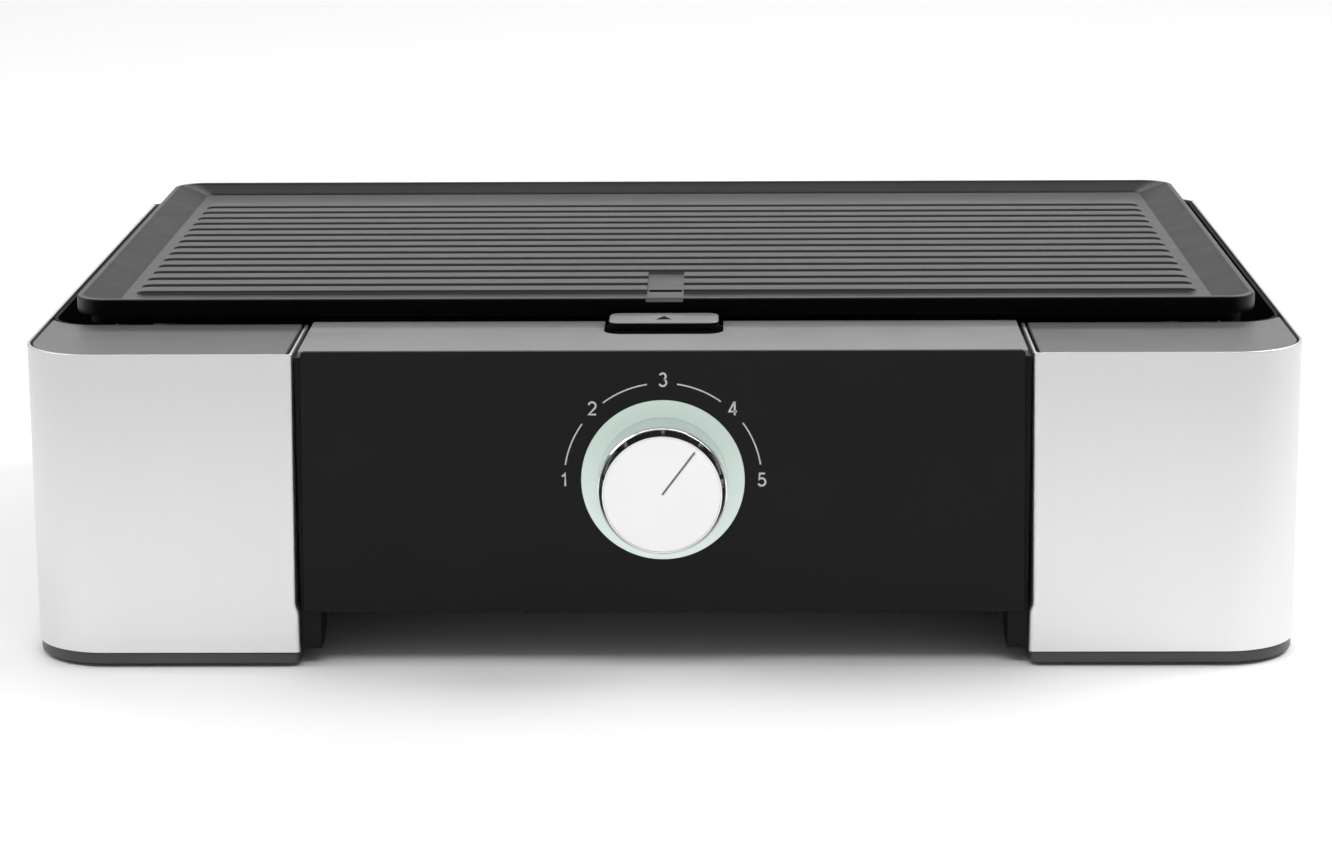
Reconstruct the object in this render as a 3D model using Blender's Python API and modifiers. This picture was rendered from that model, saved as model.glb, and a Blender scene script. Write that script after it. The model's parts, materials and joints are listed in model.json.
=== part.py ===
"""Electric griddle: a ribbed lift-off plate over a heated well, with one lit dial in front.

Metres, +Z up. +X is the user's right and -Y the front, where the dial is. The origin is on the
table, under the middle of the overall box. A depth is a distance back from the steel's front.
"""

import math

import bmesh
import bpy
from mathutils import Matrix, Vector

MM = 0.001
GAP = 0.3 * MM
TURN = 2 * math.pi

# The whole appliance
WIDTH = 500 * MM
DEPTH = 360 * MM
KNOB_REACH = 24 * MM
FRONT_Y = -(DEPTH - KNOB_REACH) / 2
FOOT_PROUD = 1.5 * MM
TRIM_TOP = 5.9 * MM
BODY_TOP = 125.7 * MM

# Steel shells and side blocks
STEEL = 1.2 * MM
SHELL_INNER = 143 * MM
SHELL_OUTER = WIDTH / 2
FRONT_CORNER = 30 * MM
BACK_CORNER = 6 * MM
FOLD_RADIUS = 1.6 * MM
FRONT_RETURN = 58 * MM
BACK_RETURN = 2.8 * MM
DECK_TOP = BODY_TOP - 0.5 * MM
DECK_THICK = 2.4 * MM
DECK_INNER = 145.6 * MM
LEG_INNER = 134.8 * MM
WALL_INNER = 140.1 * MM
WALL_OUTER = 142.5 * MM
LEG_TOP = 22.5 * MM
LEG_REACH = 25 * MM
LEG_CURVE = 15 * MM

# Centre body
FASCIA_HALF = 140.4 * MM
FASCIA_LOW = 22.2 * MM
FASCIA_TOP = 126.5 * MM
FASCIA_FRONT = 0.8 * MM
FASCIA_THICK = 2.6 * MM
CENTRE_HALF = 140.9 * MM
CENTRE_TOP = 126.1 * MM
REAR_PANEL_FRONT = 357 * MM
REAR_PANEL_BACK = 359.6 * MM
BELLY_LOW = 22.8 * MM
BELLY_TOP = 24.8 * MM
BELLY_HALF = 139.6 * MM
SCOOP_HALF = 23.6 * MM
SCOOP_FRONT = 35.9 * MM
SCOOP_FLOOR = 117 * MM

# Well
TUB_WALL = 1.4 * MM
TUB_HALF = 248.4 * MM
TUB_FRONT = 62.2 * MM
TUB_BACK = 356.7 * MM
TUB_TOP = 125 * MM
TUB_FLOOR = 103 * MM
TUB_UNDER = 101.3 * MM
TUB_FRONT_CORNER = 17.8 * MM
TUB_BACK_CORNER = 5 * MM
POCKET_HALF = 62 * MM
POCKET_BACK = 112 * MM
POCKET_FLOOR = 82 * MM
BOSS_X = 120 * MM
BOSS_DEPTHS = (80 * MM, 330 * MM)
BOSS_RADIUS = 4.5 * MM
STANDOFF_X = 180 * MM
STANDOFF_DEPTHS = (128 * MM, 338 * MM)

# Plate
PLATE_HALF = 238 * MM
PLATE_FRONT = 61.7 * MM
PLATE_BACK = 357.6 * MM
PLATE_TOP = 135.5 * MM
PLATE_FLOOR = 131.1 * MM
PLATE_UNDER = 128.1 * MM
PLATE_CORNER = 13.5 * MM
RIM_FLAT = 4.3 * MM
RIM_SLOPE = 9.7 * MM
RIB_COUNT = 15
RIB_FIRST = 99.6 * MM
RIB_PITCH = 15 * MM
RIB_HALF = 216 * MM
RIB_HEIGHT = 1.7 * MM
RIB_FOOT = 4.5 * MM
CHANNEL_HALF = 7.5 * MM
SKIRT_INSET = 5.5 * MM
SKIRT_THICK = 2.5 * MM
SKIRT_LOW = 124.4 * MM
SLOT_HALF = 6.9 * MM
SLOT_DEPTHS = (97.6 * MM, 102.4 * MM)
FOOT_X = 214 * MM
PLATE_FOOT_DEPTHS = (84 * MM, 336 * MM)
FOOT_RADIUS = 5 * MM
POST_RADIUS = 8 * MM
POST_TOP = 117.5 * MM

# Grease tray
TRAY_HALF = 60 * MM
TRAY_FRONT = 65.5 * MM
TRAY_BACK = 110 * MM
TRAY_LOW = 84 * MM
TRAY_TOP = 123.5 * MM
TRAY_WALL = 1.5 * MM
GRIP_HALF = 21.9 * MM
GRIP_FRONT = 41.2 * MM
GRIP_BACK = 61.1 * MM
GRIP_TOP = 129.7 * MM

# Heater
ELEMENT_Z = 119 * MM
ELEMENT_RADIUS = 4 * MM
ELEMENT_RUNS = (135 * MM, 190 * MM, 245 * MM, 300 * MM)
ELEMENT_LEFT = -190 * MM
ELEMENT_RIGHT = 150 * MM
ELEMENT_DROP_X = 205 * MM
REFLECTOR_FLOOR = 106.5 * MM
REFLECTOR_SHEET = 0.8 * MM
LEAD_HOLE = 7.4 * MM
STEM_HOLE = 3.3 * MM
PROBE_DEPTH = 217.5 * MM

# Dial
DIAL_Z = 75.6 * MM
RING_RADIUS = 31.7 * MM
KNOB_RADIUS = 25 * MM
CAP_RADIUS = 22.1 * MM
SHAFT_RADIUS = 3 * MM
POINTER_ANGLE = math.radians(37)
BRACKET_HALF = 32 * MM
BRACKET_SCREW = 27 * MM

# Mains inlet
INLET_X = 96 * MM
INLET_Z = 60 * MM


def at_depth(depth):
    """World Y of a point this far behind the steel's front."""
    return FRONT_Y + depth


def finish(name, colour, roughness, metallic=0.0, alpha=1.0):
    """A Principled material."""
    made = bpy.data.materials.new(name)
    made.use_nodes = True
    shader = made.node_tree.nodes["Principled BSDF"]
    shader.inputs["Base Color"].default_value = (*colour, 1.0)
    shader.inputs["Roughness"].default_value = roughness
    shader.inputs["Metallic"].default_value = metallic
    shader.inputs["Alpha"].default_value = alpha
    made.diffuse_color = (*colour, alpha)
    return made


def add_object(name, data, look=None):
    """Links a part into the model; with no look, it is a cutter or a joined-on form."""
    made = bpy.data.objects.new(name, data)
    if look is None:
        CUTTERS.objects.link(made)
        made.hide_render = True
        made.display_type = "WIRE"
    else:
        PARTS.objects.link(made)
        data.materials.append(look)
    return made


def mesh_from(form, name):
    """Turns a bmesh into a mesh and frees it."""
    mesh = bpy.data.meshes.new(name)
    form.to_mesh(mesh)
    form.free()
    return mesh


def box(name, low, high, look=None):
    """A box between two corners, with its origin at its middle."""
    low = Vector(low)
    high = Vector(high)
    form = bmesh.new()
    bmesh.ops.create_cube(form, size=1.0, matrix=Matrix.Diagonal((*(high - low), 1.0)))
    made = add_object(name, mesh_from(form, name), look)
    made.location = (low + high) / 2
    return made


def block(name, middle, half, depths, look=None):
    """A box given by its middle and half size in (X, Z), and its near and far depths."""
    low = (middle[0] - half[0], at_depth(depths[0]), middle[1] - half[1])
    high = (middle[0] + half[0], at_depth(depths[1]), middle[1] + half[1])
    return box(name, low, high, look)


def rod(name, foot, head, radius, look=None, segments=16):
    """A round bar between two points."""
    foot = Vector(foot)
    head = Vector(head)
    form = bmesh.new()
    bmesh.ops.create_cone(
        form,
        cap_ends=True,
        segments=segments,
        radius1=radius,
        radius2=radius,
        depth=(head - foot).length,
    )
    made = add_object(name, mesh_from(form, name), look)
    made.rotation_euler = (head - foot).to_track_quat("Z", "Y").to_euler()
    made.location = (foot + head) / 2
    return made


def turned(name, profile, location, look=None, steps=32, forward=False):
    """A turned shape; its profile of (radius, height) runs down the outer side.

    A profile off the axis closes on itself. With forward set, heights point to the front.
    """
    form = bmesh.new()
    points = [form.verts.new((radius, 0.0, height)) for radius, height in profile]
    for pair in zip(points, points[1:]):
        form.edges.new(pair)
    if min(radius for radius, _ in profile) > 0:
        form.edges.new((points[-1], points[0]))
    made = add_object(name, mesh_from(form, name), look)
    screw = made.modifiers.new("turn", "SCREW")
    screw.steps = steps
    screw.render_steps = steps
    screw.use_merge_vertices = True
    screw.merge_threshold = 0.01 * MM
    made.location = location
    if forward:
        made.rotation_euler = (math.radians(90), 0.0, 0.0)
    return made


def as_mesh(drawn, name, look):
    """Swaps a curve object for a mesh object whose caps are welded on."""
    bpy.context.view_layer.update()
    evaluated = drawn.evaluated_get(bpy.context.evaluated_depsgraph_get())
    mesh = bpy.data.meshes.new_from_object(evaluated)
    form = bmesh.new()
    form.from_mesh(mesh)
    bmesh.ops.remove_doubles(form, verts=form.verts, dist=0.001 * MM)
    form.to_mesh(mesh)
    form.free()
    made = add_object(name, mesh, look)
    made.matrix_world = drawn.matrix_world
    bpy.data.objects.remove(drawn)
    return made


PLANES = {
    "XY": Matrix.Identity(4),
    "XZ": Matrix.Rotation(math.radians(90), 4, "X"),
    "YZ": Matrix(((0, 0, 1, 0), (1, 0, 0, 0), (0, 1, 0, 0), (0, 0, 0, 1))),
}
NORMALS = {"XY": Vector((0, 0, 1)), "XZ": Vector((0, 1, 0)), "YZ": Vector((1, 0, 0))}


def outline(name, loops, low, high, look=None, plane="XY"):
    """A flat shape between two levels across a plane; loops inside others are holes."""
    curve = bpy.data.curves.new(name + "_outline", "CURVE")
    curve.dimensions = "2D"
    curve.fill_mode = "BOTH"
    curve.extrude = (high - low) / 2
    for points in loops:
        spline = curve.splines.new("POLY")
        spline.points.add(len(points) - 1)
        for point, (across, along) in zip(spline.points, points):
            point.co = (across, along, 0.0, 1.0)
        spline.use_cyclic_u = True
    drawn = bpy.data.objects.new(name + "_outline", curve)
    drawn.matrix_world = Matrix.Translation(NORMALS[plane] * (low + high) / 2) @ PLANES[plane]
    CUTTERS.objects.link(drawn)
    return as_mesh(drawn, name, look)


def tube(name, points, radius, look=None, fineness=2):
    """A round wire or tube along points, with filled ends."""
    curve = bpy.data.curves.new(name + "_route", "CURVE")
    curve.dimensions = "3D"
    curve.bevel_depth = radius
    curve.bevel_resolution = fineness
    curve.use_fill_caps = True
    spline = curve.splines.new("POLY")
    spline.points.add(len(points) - 1)
    for point, place in zip(spline.points, points):
        point.co = (*place, 1.0)
    drawn = bpy.data.objects.new(name + "_route", curve)
    CUTTERS.objects.link(drawn)
    return as_mesh(drawn, name, look)


def sheet(name, path, low, high, thickness, look):
    """A sheet-metal wall standing on a path, as thick as given on the path's left."""
    form = bmesh.new()
    posts = [form.verts.new((across, along, low)) for across, along in path]
    edges = [form.edges.new(pair) for pair in zip(posts, posts[1:])]
    raised = bmesh.ops.extrude_edge_only(form, edges=edges)["geom"]
    tops = [part for part in raised if isinstance(part, bmesh.types.BMVert)]
    bmesh.ops.translate(form, vec=(0, 0, high - low), verts=tops)
    made = add_object(name, mesh_from(form, name), look)
    thicken = made.modifiers.new("sheet", "SOLIDIFY")
    thicken.thickness = thickness
    thicken.offset = 1.0
    thicken.use_even_offset = True
    return made


def loft(name, rings, look=None):
    """A solid through stacked rings of equally many points, capped at both ends."""
    form = bmesh.new()
    rows = [[form.verts.new(place) for place in ring] for ring in rings]
    for below, above in zip(rows, rows[1:]):
        for index in range(len(below)):
            after = (index + 1) % len(below)
            form.faces.new((below[index], below[after], above[after], above[index]))
    form.faces.new(reversed(rows[0]))
    form.faces.new(rows[-1])
    return add_object(name, mesh_from(form, name), look)


def cut(piece, tool):
    """Takes a tool's shape out of a piece."""
    step = piece.modifiers.new(tool.name, "BOOLEAN")
    step.operation = "DIFFERENCE"
    step.solver = "EXACT"
    step.object = tool


def join(piece, form):
    """Adds a form to a piece, as one casting or moulding."""
    step = piece.modifiers.new(form.name, "BOOLEAN")
    step.operation = "UNION"
    step.solver = "EXACT"
    step.object = form


def pierce(piece, name, place, level, radius):
    """Cuts a round hole down through a sheet near a level, at a place of (X, depth)."""
    middle = Vector((place[0], at_depth(place[1]), level))
    reach = Vector((0, 0, 4 * MM))
    cut(piece, rod(name, middle - reach, middle + reach, radius))


def arc(centre, radius, start, end, steps):
    """Points along an arc between two angles in degrees, both ends included."""
    points = []
    for step in range(steps + 1):
        angle = math.radians(start + (end - start) * step / steps)
        across = centre[0] + radius * math.cos(angle)
        points.append((across, centre[1] + radius * math.sin(angle)))
    return points


def circle(centre, radius, steps=16):
    """A closed ring of points."""
    return arc(centre, radius, 0, 360, steps)[:-1]


def rectangle(low, high, radius=0.0, steps=4):
    """A rectangle between two corners, counter-clockwise, with round corners if asked."""
    if radius == 0.0:
        return [low, (high[0], low[1]), high, (low[0], high[1])]
    points = arc((high[0] - radius, low[1] + radius), radius, -90, 0, steps)
    points += arc((high[0] - radius, high[1] - radius), radius, 0, 90, steps)
    points += arc((low[0] + radius, high[1] - radius), radius, 90, 180, steps)
    points += arc((low[0] + radius, low[1] + radius), radius, 180, 270, steps)
    return points


def mirrored(points, side):
    """A path for the left (-1) or right (+1) side, kept running the same way round."""
    if side > 0:
        return list(points)
    return [(-across, along) for across, along in reversed(points)]


def placed(points):
    """Turns (across, depth) points into world X and Y."""
    return [(across, at_depth(depth)) for across, depth in points]


def routed(points):
    """Turns (x, depth, z) points into world places."""
    return [(across, at_depth(depth), up) for across, depth, up in points]


def flowing(points, spans=4):
    """Points of a smooth curve through a route's own points."""
    route = [Vector(point) for point in points]
    ahead = route[1:] + route[-1:]
    behind = route[:1] + route[:-1]
    headings = [(after - before).normalized() for before, after in zip(behind, ahead)]
    smooth = []
    for index in range(len(route) - 1):
        start = route[index]
        end = route[index + 1]
        reach = (end - start).length
        for step in range(spans):
            part = step / spans
            ease = part * part * (3 - 2 * part)
            leave = part * (1 - part) ** 2 * reach
            arrive = part * part * (part - 1) * reach
            bend = headings[index] * leave + headings[index + 1] * arrive
            smooth.append(start.lerp(end, ease) + bend)
    smooth.append(route[-1])
    return smooth


def empty(name, location):
    """A plain-axes empty on a joint's axis."""
    made = bpy.data.objects.new(name, None)
    made.location = location
    made.empty_display_size = 10 * MM
    PARTS.objects.link(made)
    return made


def hang(pieces, parent):
    """Parents pieces to an empty and keeps them where they are."""
    for piece in pieces:
        piece.parent = parent
        piece.matrix_parent_inverse = Matrix.Translation(-parent.location)


def shell_path(inner, outer, front, back, front_radius, fold):
    """The right block's wall line: front return, front, side, back and back return."""
    path = [(inner, front + FRONT_RETURN)]
    path += arc((inner + fold, front + fold), fold, 180, 270, 3)
    path += arc((outer - front_radius, front + front_radius), front_radius, -90, 0, 8)
    path += arc((outer - BACK_CORNER, back - BACK_CORNER), BACK_CORNER, 0, 90, 4)
    path += arc((inner + fold, back - fold), fold, 90, 180, 3)
    path.append((inner, back - BACK_RETURN))
    return path


def make_shells():
    """Two steel sheets, one round each side block."""
    path = shell_path(SHELL_INNER, SHELL_OUTER, 0.0, DEPTH, FRONT_CORNER, FOLD_RADIUS)
    for name, side in SIDES:
        line = placed(mirrored(path, side))
        sheet(name + "_shell", line, TRIM_TOP + GAP, BODY_TOP, STEEL, LOOKS["steel"])


def make_decks():
    """The plastic tops of the side blocks, in front of the well."""
    limit = SHELL_OUTER - STEEL - 0.4 * MM
    edge = STEEL + 0.4 * MM
    radius = FRONT_CORNER - edge
    corner = (TUB_HALF - TUB_FRONT_CORNER, TUB_FRONT + TUB_FRONT_CORNER)
    path = [(DECK_INNER, edge)]
    path += arc((SHELL_OUTER - FRONT_CORNER, FRONT_CORNER), radius, -90, 0, 8)
    well = arc(corner, TUB_FRONT_CORNER + GAP, -28, -90, 4)
    path.append((limit, well[0][1]))
    path += well
    path.append((DECK_INNER, TUB_FRONT - GAP))
    for name, side in SIDES:
        loop = placed(mirrored(path, side))
        outline(name + "_deck", [loop], DECK_TOP - DECK_THICK, DECK_TOP, LOOKS["deck"])


def make_centre_deck():
    """The middle deck, with the finger scoop in front of the tray's grip."""
    back = TUB_FRONT - GAP
    front = FASCIA_FRONT + FASCIA_THICK + GAP
    loop = rectangle((-CENTRE_HALF, at_depth(front)), (CENTRE_HALF, at_depth(back)))
    deck = outline("centre_deck", [loop], CENTRE_TOP - DECK_THICK, CENTRE_TOP, LOOKS["deck"])
    wall = 2.4 * MM
    low = (-SCOOP_HALF - wall, at_depth(SCOOP_FRONT - wall), SCOOP_FLOOR - wall)
    high = (SCOOP_HALF + wall, at_depth(back), CENTRE_TOP)
    join(deck, box("scoop_walls", low, high))
    mouth = rectangle(
        (-SCOOP_HALF, at_depth(SCOOP_FRONT)), (SCOOP_HALF, at_depth(back + 20 * MM)), 6 * MM
    )
    cut(deck, outline("scoop_hollow", [mouth], SCOOP_FLOOR, CENTRE_TOP + 5 * MM))


def make_inner_walls():
    """The block's inner side walls; each has a leg in front and one behind."""
    near = FASCIA_FRONT + FASCIA_THICK + 0.8 * MM
    far = REAR_PANEL_FRONT - 1 * MM
    low = TRIM_TOP + GAP
    step = TUB_FRONT - 0.5 * MM
    under_deck = CENTRE_TOP - DECK_THICK - GAP
    under_tub = TUB_UNDER - GAP
    panel = [(near, low), (far, low), (far, under_tub), (step, under_tub)]
    panel += [(step, under_deck), (near, under_deck)]
    leg = [(near, LEG_TOP)]
    leg += arc((near + 2 * MM, low + 2 * MM), 2 * MM, 180, 270, 3)
    curve_centre = (near + LEG_REACH - LEG_CURVE, low + LEG_CURVE)
    leg += arc(curve_centre, LEG_CURVE, -90, 0, 6)
    leg.append((near + LEG_REACH, LEG_TOP))
    rear_leg = [(near + far - depth, up) for depth, up in leg]
    for name, side in SIDES:
        sides = sorted((side * WALL_INNER, side * WALL_OUTER))
        wall = outline(
            name + "_inner_wall",
            [[(at_depth(depth), up) for depth, up in panel]],
            *sides,
            LOOKS["black_plastic"],
            "YZ",
        )
        reach = sorted((side * LEG_INNER, side * (WALL_INNER + 1 * MM)))
        legs = [[(at_depth(depth), up) for depth, up in form] for form in (leg, rear_leg)]
        join(wall, outline(name + "_legs", legs, *reach, plane="YZ"))


def make_base_trims():
    """The moulded base of each side block, a shallow pan under the steel, on rubber feet."""
    skin = 2.2 * MM
    inset = 0.6 * MM
    inner = SHELL_INNER + 0.2 * MM
    outer = SHELL_OUTER - inset
    path = arc((inner + 3 * MM, inset + 3 * MM), 3 * MM, 180, 270, 2)
    corner = FRONT_CORNER - inset
    path += arc((outer - corner, inset + corner), corner, -90, 0, 8)
    path += arc((outer - BACK_CORNER, DEPTH - inset - BACK_CORNER), BACK_CORNER, 0, 90, 3)
    path += arc((inner + 3 * MM, DEPTH - inset - 3 * MM), 3 * MM, 90, 180, 2)
    hollow = rectangle((inner + 5 * MM, 8 * MM), (outer - 6 * MM, DEPTH - 8 * MM), 22 * MM)
    feet_x = (inner + outer) / 2
    for name, side in SIDES:
        loop = placed(mirrored(path, side))
        trim = outline(name + "_base_trim", [loop], FOOT_PROUD, TRIM_TOP, LOOKS["trim"])
        inside = placed(mirrored(hollow, side))
        pan = outline(name + "_trim_hollow", [inside], FOOT_PROUD + skin, TRIM_TOP + 2 * MM)
        cut(trim, pan)
        for place, depth in (("front", 36 * MM), ("rear", DEPTH - 36 * MM)):
            centre = Vector((side * feet_x, at_depth(depth), 0.0))
            pocket_top = Vector((0, 0, FOOT_PROUD + 1.2 * MM))
            seat = rod(place + "_" + name + "_seat", centre, centre + pocket_top, 9.3 * MM)
            cut(trim, seat)
            top = Vector((0, 0, FOOT_PROUD + 0.9 * MM))
            rod(place + "_" + name + "_foot", centre, centre + top, 9 * MM, LOOKS["rubber"])


def make_fascia():
    """The gloss front panel, with the dial's hole and two posts for the thermostat."""
    corners = ((-FASCIA_HALF, FASCIA_LOW), (FASCIA_HALF, FASCIA_TOP))
    hole = circle((0.0, DIAL_Z), RING_RADIUS - 1.2 * MM, 32)
    back = at_depth(FASCIA_FRONT + FASCIA_THICK)
    loops = [rectangle(*corners, 1.5 * MM, 2), hole]
    panel = outline("front_fascia", loops, at_depth(FASCIA_FRONT), back, LOOKS["gloss_black"], "XZ")
    for name, side in SIDES:
        foot = Vector((side * BRACKET_SCREW, back - 1 * MM, DIAL_Z - BRACKET_SCREW))
        post = rod(name + "_post", foot, foot + Vector((0, 8.3 * MM, 0)), 4 * MM)
        join(panel, post)
        bore_foot = foot + Vector((0, 2.5 * MM, 0))
        bore_head = foot + Vector((0, 9 * MM, 0))
        cut(panel, rod(name + "_post_bore", bore_foot, bore_head, 1.7 * MM, segments=12))


def make_rear_panel():
    """The back panel, with air slots and the opening for the mains inlet."""
    loops = [rectangle((-FASCIA_HALF, FASCIA_LOW), (FASCIA_HALF, BODY_TOP), 1.5 * MM, 2)]
    low = (INLET_X - 15.9 * MM, INLET_Z - 12 * MM)
    loops.append(rectangle(low, (INLET_X + 15.9 * MM, INLET_Z + 12 * MM)))
    for index in range(8):
        left = -110 * MM + index * 12 * MM
        loops.append(rectangle((left, 44 * MM), (left + 4 * MM, 84 * MM)))
    span = (at_depth(REAR_PANEL_FRONT), at_depth(REAR_PANEL_BACK))
    panel = outline("rear_panel", loops, *span, LOOKS["black_plastic"], "XZ")
    rebate = box(
        "inlet_rebate",
        (INLET_X - 26 * MM, at_depth(358.3 * MM), INLET_Z - 15 * MM),
        (INLET_X + 26 * MM, at_depth(365 * MM), INLET_Z + 15 * MM),
    )
    cut(panel, rebate)
    sink = 358 * MM
    for name, side in SIDES:
        centre = Vector((side * 130 * MM, 0, 34 * MM))
        seat = centre + Vector((0, at_depth(sink), 0))
        past = centre + Vector((0, at_depth(366 * MM), 0))
        hole = centre + Vector((0, at_depth(350 * MM), 0))
        cut(panel, rod(name + "_rear_hole", hole, past, 1.9 * MM, segments=12))
        cut(panel, rod(name + "_rear_recess", seat, past, 4 * MM))
        screw(name + "_rear_screw", seat, Vector((0, 1, 0)), 10 * MM)


def screw(name, seat, outward, length):
    """A pan-head screw; its head stands on the seat and its shank points the other way."""
    head = [(0.0, 1.7 * MM), (2.2 * MM, 1.7 * MM), (3.4 * MM, 0.9 * MM), (3.4 * MM, GAP)]
    shank = [(1.4 * MM, GAP), (1.4 * MM, 1 * MM - length), (0.0, -length)]
    made = turned(name, head + shank, seat, LOOKS["screw"], steps=12)
    made.rotation_euler = outward.to_track_quat("Z", "Y").to_euler()
    return made


def make_belly_pan():
    """The underside of the centre body, with air slots and four screws from below."""
    near = FASCIA_FRONT + FASCIA_THICK + GAP
    far = REAR_PANEL_FRONT - GAP
    loops = [rectangle((-BELLY_HALF, at_depth(near)), (BELLY_HALF, at_depth(far)))]
    for row in (-1, 1):
        for index in range(6):
            middle = row * 64 * MM
            depth = 120 * MM + index * 26 * MM
            low = (middle - 20 * MM, at_depth(depth))
            loops.append(rectangle(low, (middle + 20 * MM, at_depth(depth + 5 * MM))))
    for side in (-1, 1):
        for depth in BOSS_DEPTHS:
            loops.append(circle((side * BOSS_X, at_depth(depth)), 1.9 * MM, 12))
    outline("belly_pan", loops, BELLY_LOW, BELLY_TOP, LOOKS["black_plastic"])
    for name, side in SIDES:
        for place, depth in zip(("front", "rear"), BOSS_DEPTHS):
            seat = (side * BOSS_X, at_depth(depth), BELLY_LOW)
            screw(place + "_" + name + "_belly_screw", seat, Vector((0, 0, -1)), 12 * MM)


def tub_outline(inset):
    """The well's line in plan, moved inwards by an amount."""
    half = TUB_HALF - inset
    near = TUB_FRONT + inset
    far = TUB_BACK - inset
    front = TUB_FRONT_CORNER - inset
    back = TUB_BACK_CORNER - inset
    points = arc((half - front, near + front), front, -90, 0, 5)
    points += arc((half - back, far - back), back, 0, 90, 3)
    points += arc((back - half, far - back), back, 90, 180, 3)
    points += arc((front - half, near + front), front, 180, 270, 5)
    return placed(points)


def make_well_tub():
    """The black well: side walls, floor, pocket for the tray, posts for the plate's feet."""
    tub = outline("well_tub", [tub_outline(0.0)], TUB_UNDER, TUB_TOP, LOOKS["well"])
    wall = TUB_WALL
    low = (-POCKET_HALF - wall, at_depth(TUB_FRONT), POCKET_FLOOR - wall)
    high = (POCKET_HALF + wall, at_depth(POCKET_BACK + wall), TUB_UNDER + 1 * MM)
    join(tub, box("pocket_walls", low, high))
    cut(tub, outline("well_hollow", [tub_outline(TUB_WALL)], TUB_FLOOR, TUB_TOP + 5 * MM))
    low = (-POCKET_HALF, at_depth(TUB_FRONT + TUB_WALL), POCKET_FLOOR)
    high = (POCKET_HALF, at_depth(POCKET_BACK), TUB_FLOOR + 1 * MM)
    cut(tub, box("pocket_hollow", low, high))
    low = (-SCOOP_HALF - 1 * MM, at_depth(TUB_FRONT - 5 * MM), SCOOP_FLOOR)
    high = (SCOOP_HALF + 1 * MM, at_depth(TUB_FRONT + 5 * MM), TUB_TOP + 5 * MM)
    cut(tub, box("grip_notch", low, high))
    for name, side in SIDES:
        for place, depth in zip(("front", "rear"), PLATE_FOOT_DEPTHS):
            foot = Vector((side * FOOT_X, at_depth(depth), TUB_FLOOR - 1 * MM))
            top = Vector((foot.x, foot.y, POST_TOP))
            join(tub, rod(place + "_" + name + "_plate_post", foot, top, POST_RADIUS, segments=12))
        for place, depth in zip(("front", "rear"), BOSS_DEPTHS):
            foot = Vector((side * BOSS_X, at_depth(depth), BELLY_TOP + GAP))
            top = Vector((foot.x, foot.y, TUB_UNDER + 1 * MM))
            boss = rod(place + "_" + name + "_boss", foot, top, BOSS_RADIUS, segments=12)
            join(tub, boss)
            bore_top = foot + Vector((0, 0, 14 * MM))
            below = foot - Vector((0, 0, 1 * MM))
            label = place + "_" + name + "_boss_bore"
            cut(tub, rod(label, below, bore_top, 1.7 * MM, segments=12))
        for place, depth in zip(("front", "rear"), STANDOFF_DEPTHS):
            foot = Vector((side * STANDOFF_X, at_depth(depth), TUB_FLOOR - 1 * MM))
            top = Vector((foot.x, foot.y, REFLECTOR_FLOOR - GAP))
            join(tub, rod(place + "_" + name + "_standoff", foot, top, 4 * MM, segments=12))
    for name, depth in (("front_terminal", ELEMENT_RUNS[0]), ("rear_terminal", ELEMENT_RUNS[-1])):
        pierce(tub, name + "_hole", (ELEMENT_DROP_X, depth), TUB_FLOOR, LEAD_HOLE)
    pierce(tub, "probe_hole", (0.0, PROBE_DEPTH), TUB_FLOOR, STEM_HOLE)


def make_reflector():
    """The bright pan under the heating element."""
    low = (-232 * MM, at_depth(118 * MM))
    high = (232 * MM, at_depth(348 * MM))
    skin = REFLECTOR_SHEET
    rim = REFLECTOR_FLOOR + 6 * MM
    pan = outline(
        "reflector_tray", [rectangle(low, high, 10 * MM)], REFLECTOR_FLOOR, rim, LOOKS["bright"]
    )
    inside_low = (low[0] + skin, low[1] + skin)
    inside_high = (high[0] - skin, high[1] - skin)
    inner = rectangle(inside_low, inside_high, 10 * MM - skin)
    cut(pan, outline("reflector_hollow", [inner], REFLECTOR_FLOOR + skin, rim + 5 * MM))
    for name, depth in (("front_lead", ELEMENT_RUNS[0]), ("rear_lead", ELEMENT_RUNS[-1])):
        pierce(pan, name + "_hole", (ELEMENT_DROP_X, depth), REFLECTOR_FLOOR, LEAD_HOLE)
    pierce(pan, "stem_hole", (0.0, PROBE_DEPTH), REFLECTOR_FLOOR, STEM_HOLE)
    for name, side in SIDES:
        place = (side * FOOT_X, PLATE_FOOT_DEPTHS[1])
        pierce(pan, name + "_post_hole", place, REFLECTOR_FLOOR, POST_RADIUS + 2 * GAP)


def element_route():
    """The element's centre line: up from the floor, four runs joined by bends, and down."""
    bend = 12 * MM
    half = (ELEMENT_RUNS[1] - ELEMENT_RUNS[0]) / 2
    stub = 92 * MM
    first = ELEMENT_RUNS[0]
    last = ELEMENT_RUNS[-1]
    route = [(ELEMENT_DROP_X, first, stub)]
    corner = (ELEMENT_DROP_X - bend, ELEMENT_Z - bend)
    route += [(across, first, up) for across, up in arc(corner, bend, 0, 90, 4)]
    turns = (
        (ELEMENT_LEFT, first + half, -90, -270),
        (ELEMENT_RIGHT, ELEMENT_RUNS[1] + half, -90, 90),
        (ELEMENT_LEFT, ELEMENT_RUNS[2] + half, -90, -270),
    )
    for across, depth, start, end in turns:
        points = arc((across, depth), half, start, end, 8)
        route += [(point[0], point[1], ELEMENT_Z) for point in points]
    route += [(across, last, up) for across, up in arc(corner, bend, 90, 0, 4)]
    route.append((ELEMENT_DROP_X, last, stub))
    return route


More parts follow.
